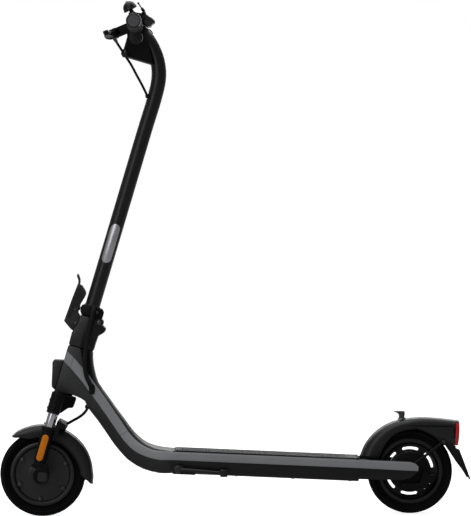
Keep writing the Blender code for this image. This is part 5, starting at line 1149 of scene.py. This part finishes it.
# Turned pieces on the stem: name, material, frame, steps, replaced nodes and profile
CONTROLS = (
    ("bell_dome_fine", BELL, BELL_PLACE, 72, "bell_dome", BELL_DOME),
    ("bell_screw", STEEL, BELL_PLACE, 24, "", mm((0, 21.6), (3.2, 21.7), (3, 22.8), (0, 23.4))),
    ("throttle_housing_fine", DARK_PLASTIC, BAR, 64, "throttle_housing", mm(
        (11.3, 76), (16, 76), (17.2, 76.8), (18, 78.4), (18.1, 82), (17.6, 82.4), (17.6, 83), (18.1, 83.4),
        (18, 86.8), (17.2, 88.8), (11.3, 89),
    )),
    ("headlight_glass", CLEAR, LAMP, 72, "headlight_lens", mm(
        (0, 4.6), (6, 4.4), (11, 3.6), (15, 2.2), (16.8, 0.8), (17, -0.2), (16, -0.2), (14.8, 0.8),
        (10.8, 2.2), (6, 2.9), (0, 3.1),
    )),
    ("headlight_reflector", REFLECTOR, LAMP, 72, "", mm(
        (0, -0.1), (4, 0), (10, 0.8), (15.6, 0.3), (16.6, -0.3), (0, -0.3),
    )),
    ("headlight_led", CLEAR, LAMP, 24, "", mm((0, 1.2), (2, 0.9), (2.4, 0), (0, 0))),
    ("headlight_bezel", GLOSS, LAMP, 72, "", mm(
        (17.2, -0.2), (17.2, 2.4), (17.8, 3.2), (19, 3.2), (19.8, 2.2), (19.8, -0.2),
    )),
    ("stem_clamp_boss", PLASTIC, BOSS, 64, "", mm(
        (0, -27.1), (15, -27.1), (16.6, -26.6), (17.2, -25.4), (0, -25.4),
    )),
)
# Brake bracket: its tilt in degrees, and its cheek as reach ahead and height
BRACKET_TILT = 22.5
BRACKET_CHEEK = mm(
    (36, -9.8), (53.5, -9.8), (66, -8.5), (75, -3), (77.5, 4), (75, 9.8), (69, 13.2), (60, 14.6), (50, 14),
    (36, 11.2),
)
DISPLAY_TOP = Vector((-0.0822, 0.0, 1.1332))
DISPLAY_REAR = Vector((-0.0499, 0.0, 1.1215))


def build_controls():
    """Bell, throttle and headlight, the striker's sleeve and the snap ring of the stem's clamp."""
    for name, surface, place, steps, covered, profile in CONTROLS:
        add_turned(name, profile, surface, "stem", place, steps, covered)
    sleeve = [Vector(p) for p in mm((22.2, -93, 32.8), (19.8, -93, 36.2), (17.2, -93, 39.6))]
    add_mesh("bell_striker_sleeve", sweep(sleeve, 0.0036), DARK_PLASTIC, "striker", BAR)
    ring = arc((0, 0), 0.0166, -44, 40, 16) + arc((0, 0), 0.0150, 36, -40, 16)
    add_mesh("clamp_snap_ring", plate_shape(ring, -0.0276, -0.0268), CHROME, "stem", BOSS, rounding=0.0002)


def build_display():
    """Glass on the sloping top of the head's housing."""
    slope = (DISPLAY_REAR - DISPLAY_TOP).normalized()
    across = Vector((0.0, 1.0, 0.0))
    face = Matrix((slope, across, slope.cross(across))).transposed().to_4x4()
    screen = STEERING @ Matrix.Translation(DISPLAY_TOP.lerp(DISPLAY_REAR, 0.33)) @ face
    points, faces = plate_shape(rounded_box((0.0, 0.0), 0.0175, 0.0300, 0.0035), -0.0003, 0.0005)
    shape = [(x, z, y) for x, y, z in points], faces
    add_mesh("display_glass", shape, GLOSS, "stem", screen, rounding=0.0003)


def tilted(reach, height):
    """Side-view point by its reach ahead along the brake bracket and its height over that line."""
    cosine, sine = polar(1.0, BRACKET_TILT)
    return -reach * cosine - height * sine, -reach * sine + height * cosine


def build_brake_details():
    """Cheek of the brake bracket, and the two screws of the lever's pivot."""
    cheek = plate_shape([tilted(*point) for point in BRACKET_CHEEK], BRAKE_Y + 0.0098, BRAKE_Y + 0.0119)
    add_mesh("brake_bracket_cheek", cheek, DARK_PLASTIC, "stem", BAR, rounding=0.0005)
    spots = []
    for height, up in ((0.0117, 1), (-0.0103, -1)):
        (x, z), (ahead, rise) = tilted(0.050, height), tilted(0.0, up)
        spots.append(((x, BRAKE_Y, z), (ahead, 0, rise), 0.0046))
    add_screws("brake_pivot_screws", spots, "stem", BAR, ZINC)


# Studio


def add_camera():
    data = bpy.data.cameras.new("camera")
    data.sensor_width = SENSOR
    data.lens = CAMERA_LENS
    data.clip_end = 100.0
    camera = linked("camera", data)
    turn = Matrix.Rotation(-CAMERA_YAW, 4, "Z") @ Matrix.Rotation(math.pi / 2, 4, "X")
    camera.matrix_world = Matrix.Translation(CAMERA_PLACE) @ turn @ Matrix.Rotation(-CAMERA_ROLL, 4, "Z")
    bpy.context.scene.camera = camera


def add_lamp(name, kind, place, target, power, **settings):
    light = bpy.data.lights.new(name, kind)
    light.energy = power
    for key, value in settings.items():
        setattr(light, key, value)
    lamp = linked(name, light)
    lamp.location = place
    lamp.rotation_euler = (Vector(target) - Vector(place)).to_track_quat("-Z", "Y").to_euler()


def seen_share(n):
    """How much of the white surrounding a ray sees: all of it for the camera and through glass."""
    camera, through, glossy = (
        n.node("LightPath", f"Is {kind} Ray", {}) for kind in ("Camera", "Transmission", "Glossy")
    )
    return n.sum(n.sum(camera, through, "MAXIMUM"), n.sum(glossy, GLOSS_SHARE, "MULTIPLY"), "MAXIMUM")


def add_floor():
    """Pale floor: white to the camera, with the object's shadow kept."""
    n = Nodes(bpy.data.materials.new("floor_white"))
    n.set(
        Base_Color=(FLOOR_TONE, FLOOR_TONE, FLOOR_TONE, 1.0),
        Roughness=0.9,
        Specular_IOR_Level=0.1,
        Emission_Color=WHITE,
        Emission_Strength=n.sum(seen_share(n), FLOOR_GLOW, "MULTIPLY"),
    )
    points = [(x * FLOOR_REACH, y * FLOOR_REACH, 0.0) for x, y in ((-1, -1), (1, -1), (1, 1), (-1, 1))]
    mesh = bpy.data.meshes.new("floor")
    mesh.from_pydata(points, [], [(0, 1, 2, 3)])
    mesh.materials.append(n.owner)
    linked("floor", mesh)


def add_world():
    """White surrounding for the camera, and a dimmer one that lights the object."""
    n = Nodes(bpy.data.worlds.new("studio"), "Background")
    n.set(Color=WHITE, Strength=n.span(seen_share(n), WORLD_LIGHT, 1.0))
    bpy.context.scene.world = n.owner


dress_cad_nodes()
build_castings()
build_tyre("front", FRONT)
build_tyre("rear", REAR)
build_hub()
build_rear_rim()
build_front_fender()
build_rear_fender()
build_mudflap()
build_fork()
build_stem()
add_fold_details()
build_side_trims()
build_deck_details()
build_grips()
build_controls()
build_display()
build_brake_details()
build_cables()
add_sleeves()
add_floor()
add_world()
add_lamp("soft_sun", "SUN", (0, 0, 0), (0.35, 0.62, -1.0), 1.5, angle=math.radians(40))
for name, place, target, power, width, height in (
    ("top_lamp", (0.0, 0.4, 2.7), (0, 0, 0.3), 50, 2.8, 1.2),
    ("front_lamp", (-1.9, -2.6, 1.5), (0, 0, 0.5), 34, 1.4, 2.2),
    ("back_lamp", (0.0, 3.2, 2.0), (0, 0, 0.3), 60, 3.6, 1.2),
):
    add_lamp(name, "AREA", place, target, power, shape="RECTANGLE", size=width, size_y=height)
add_camera()
bpy.context.scene.view_settings.view_transform = "Standard"
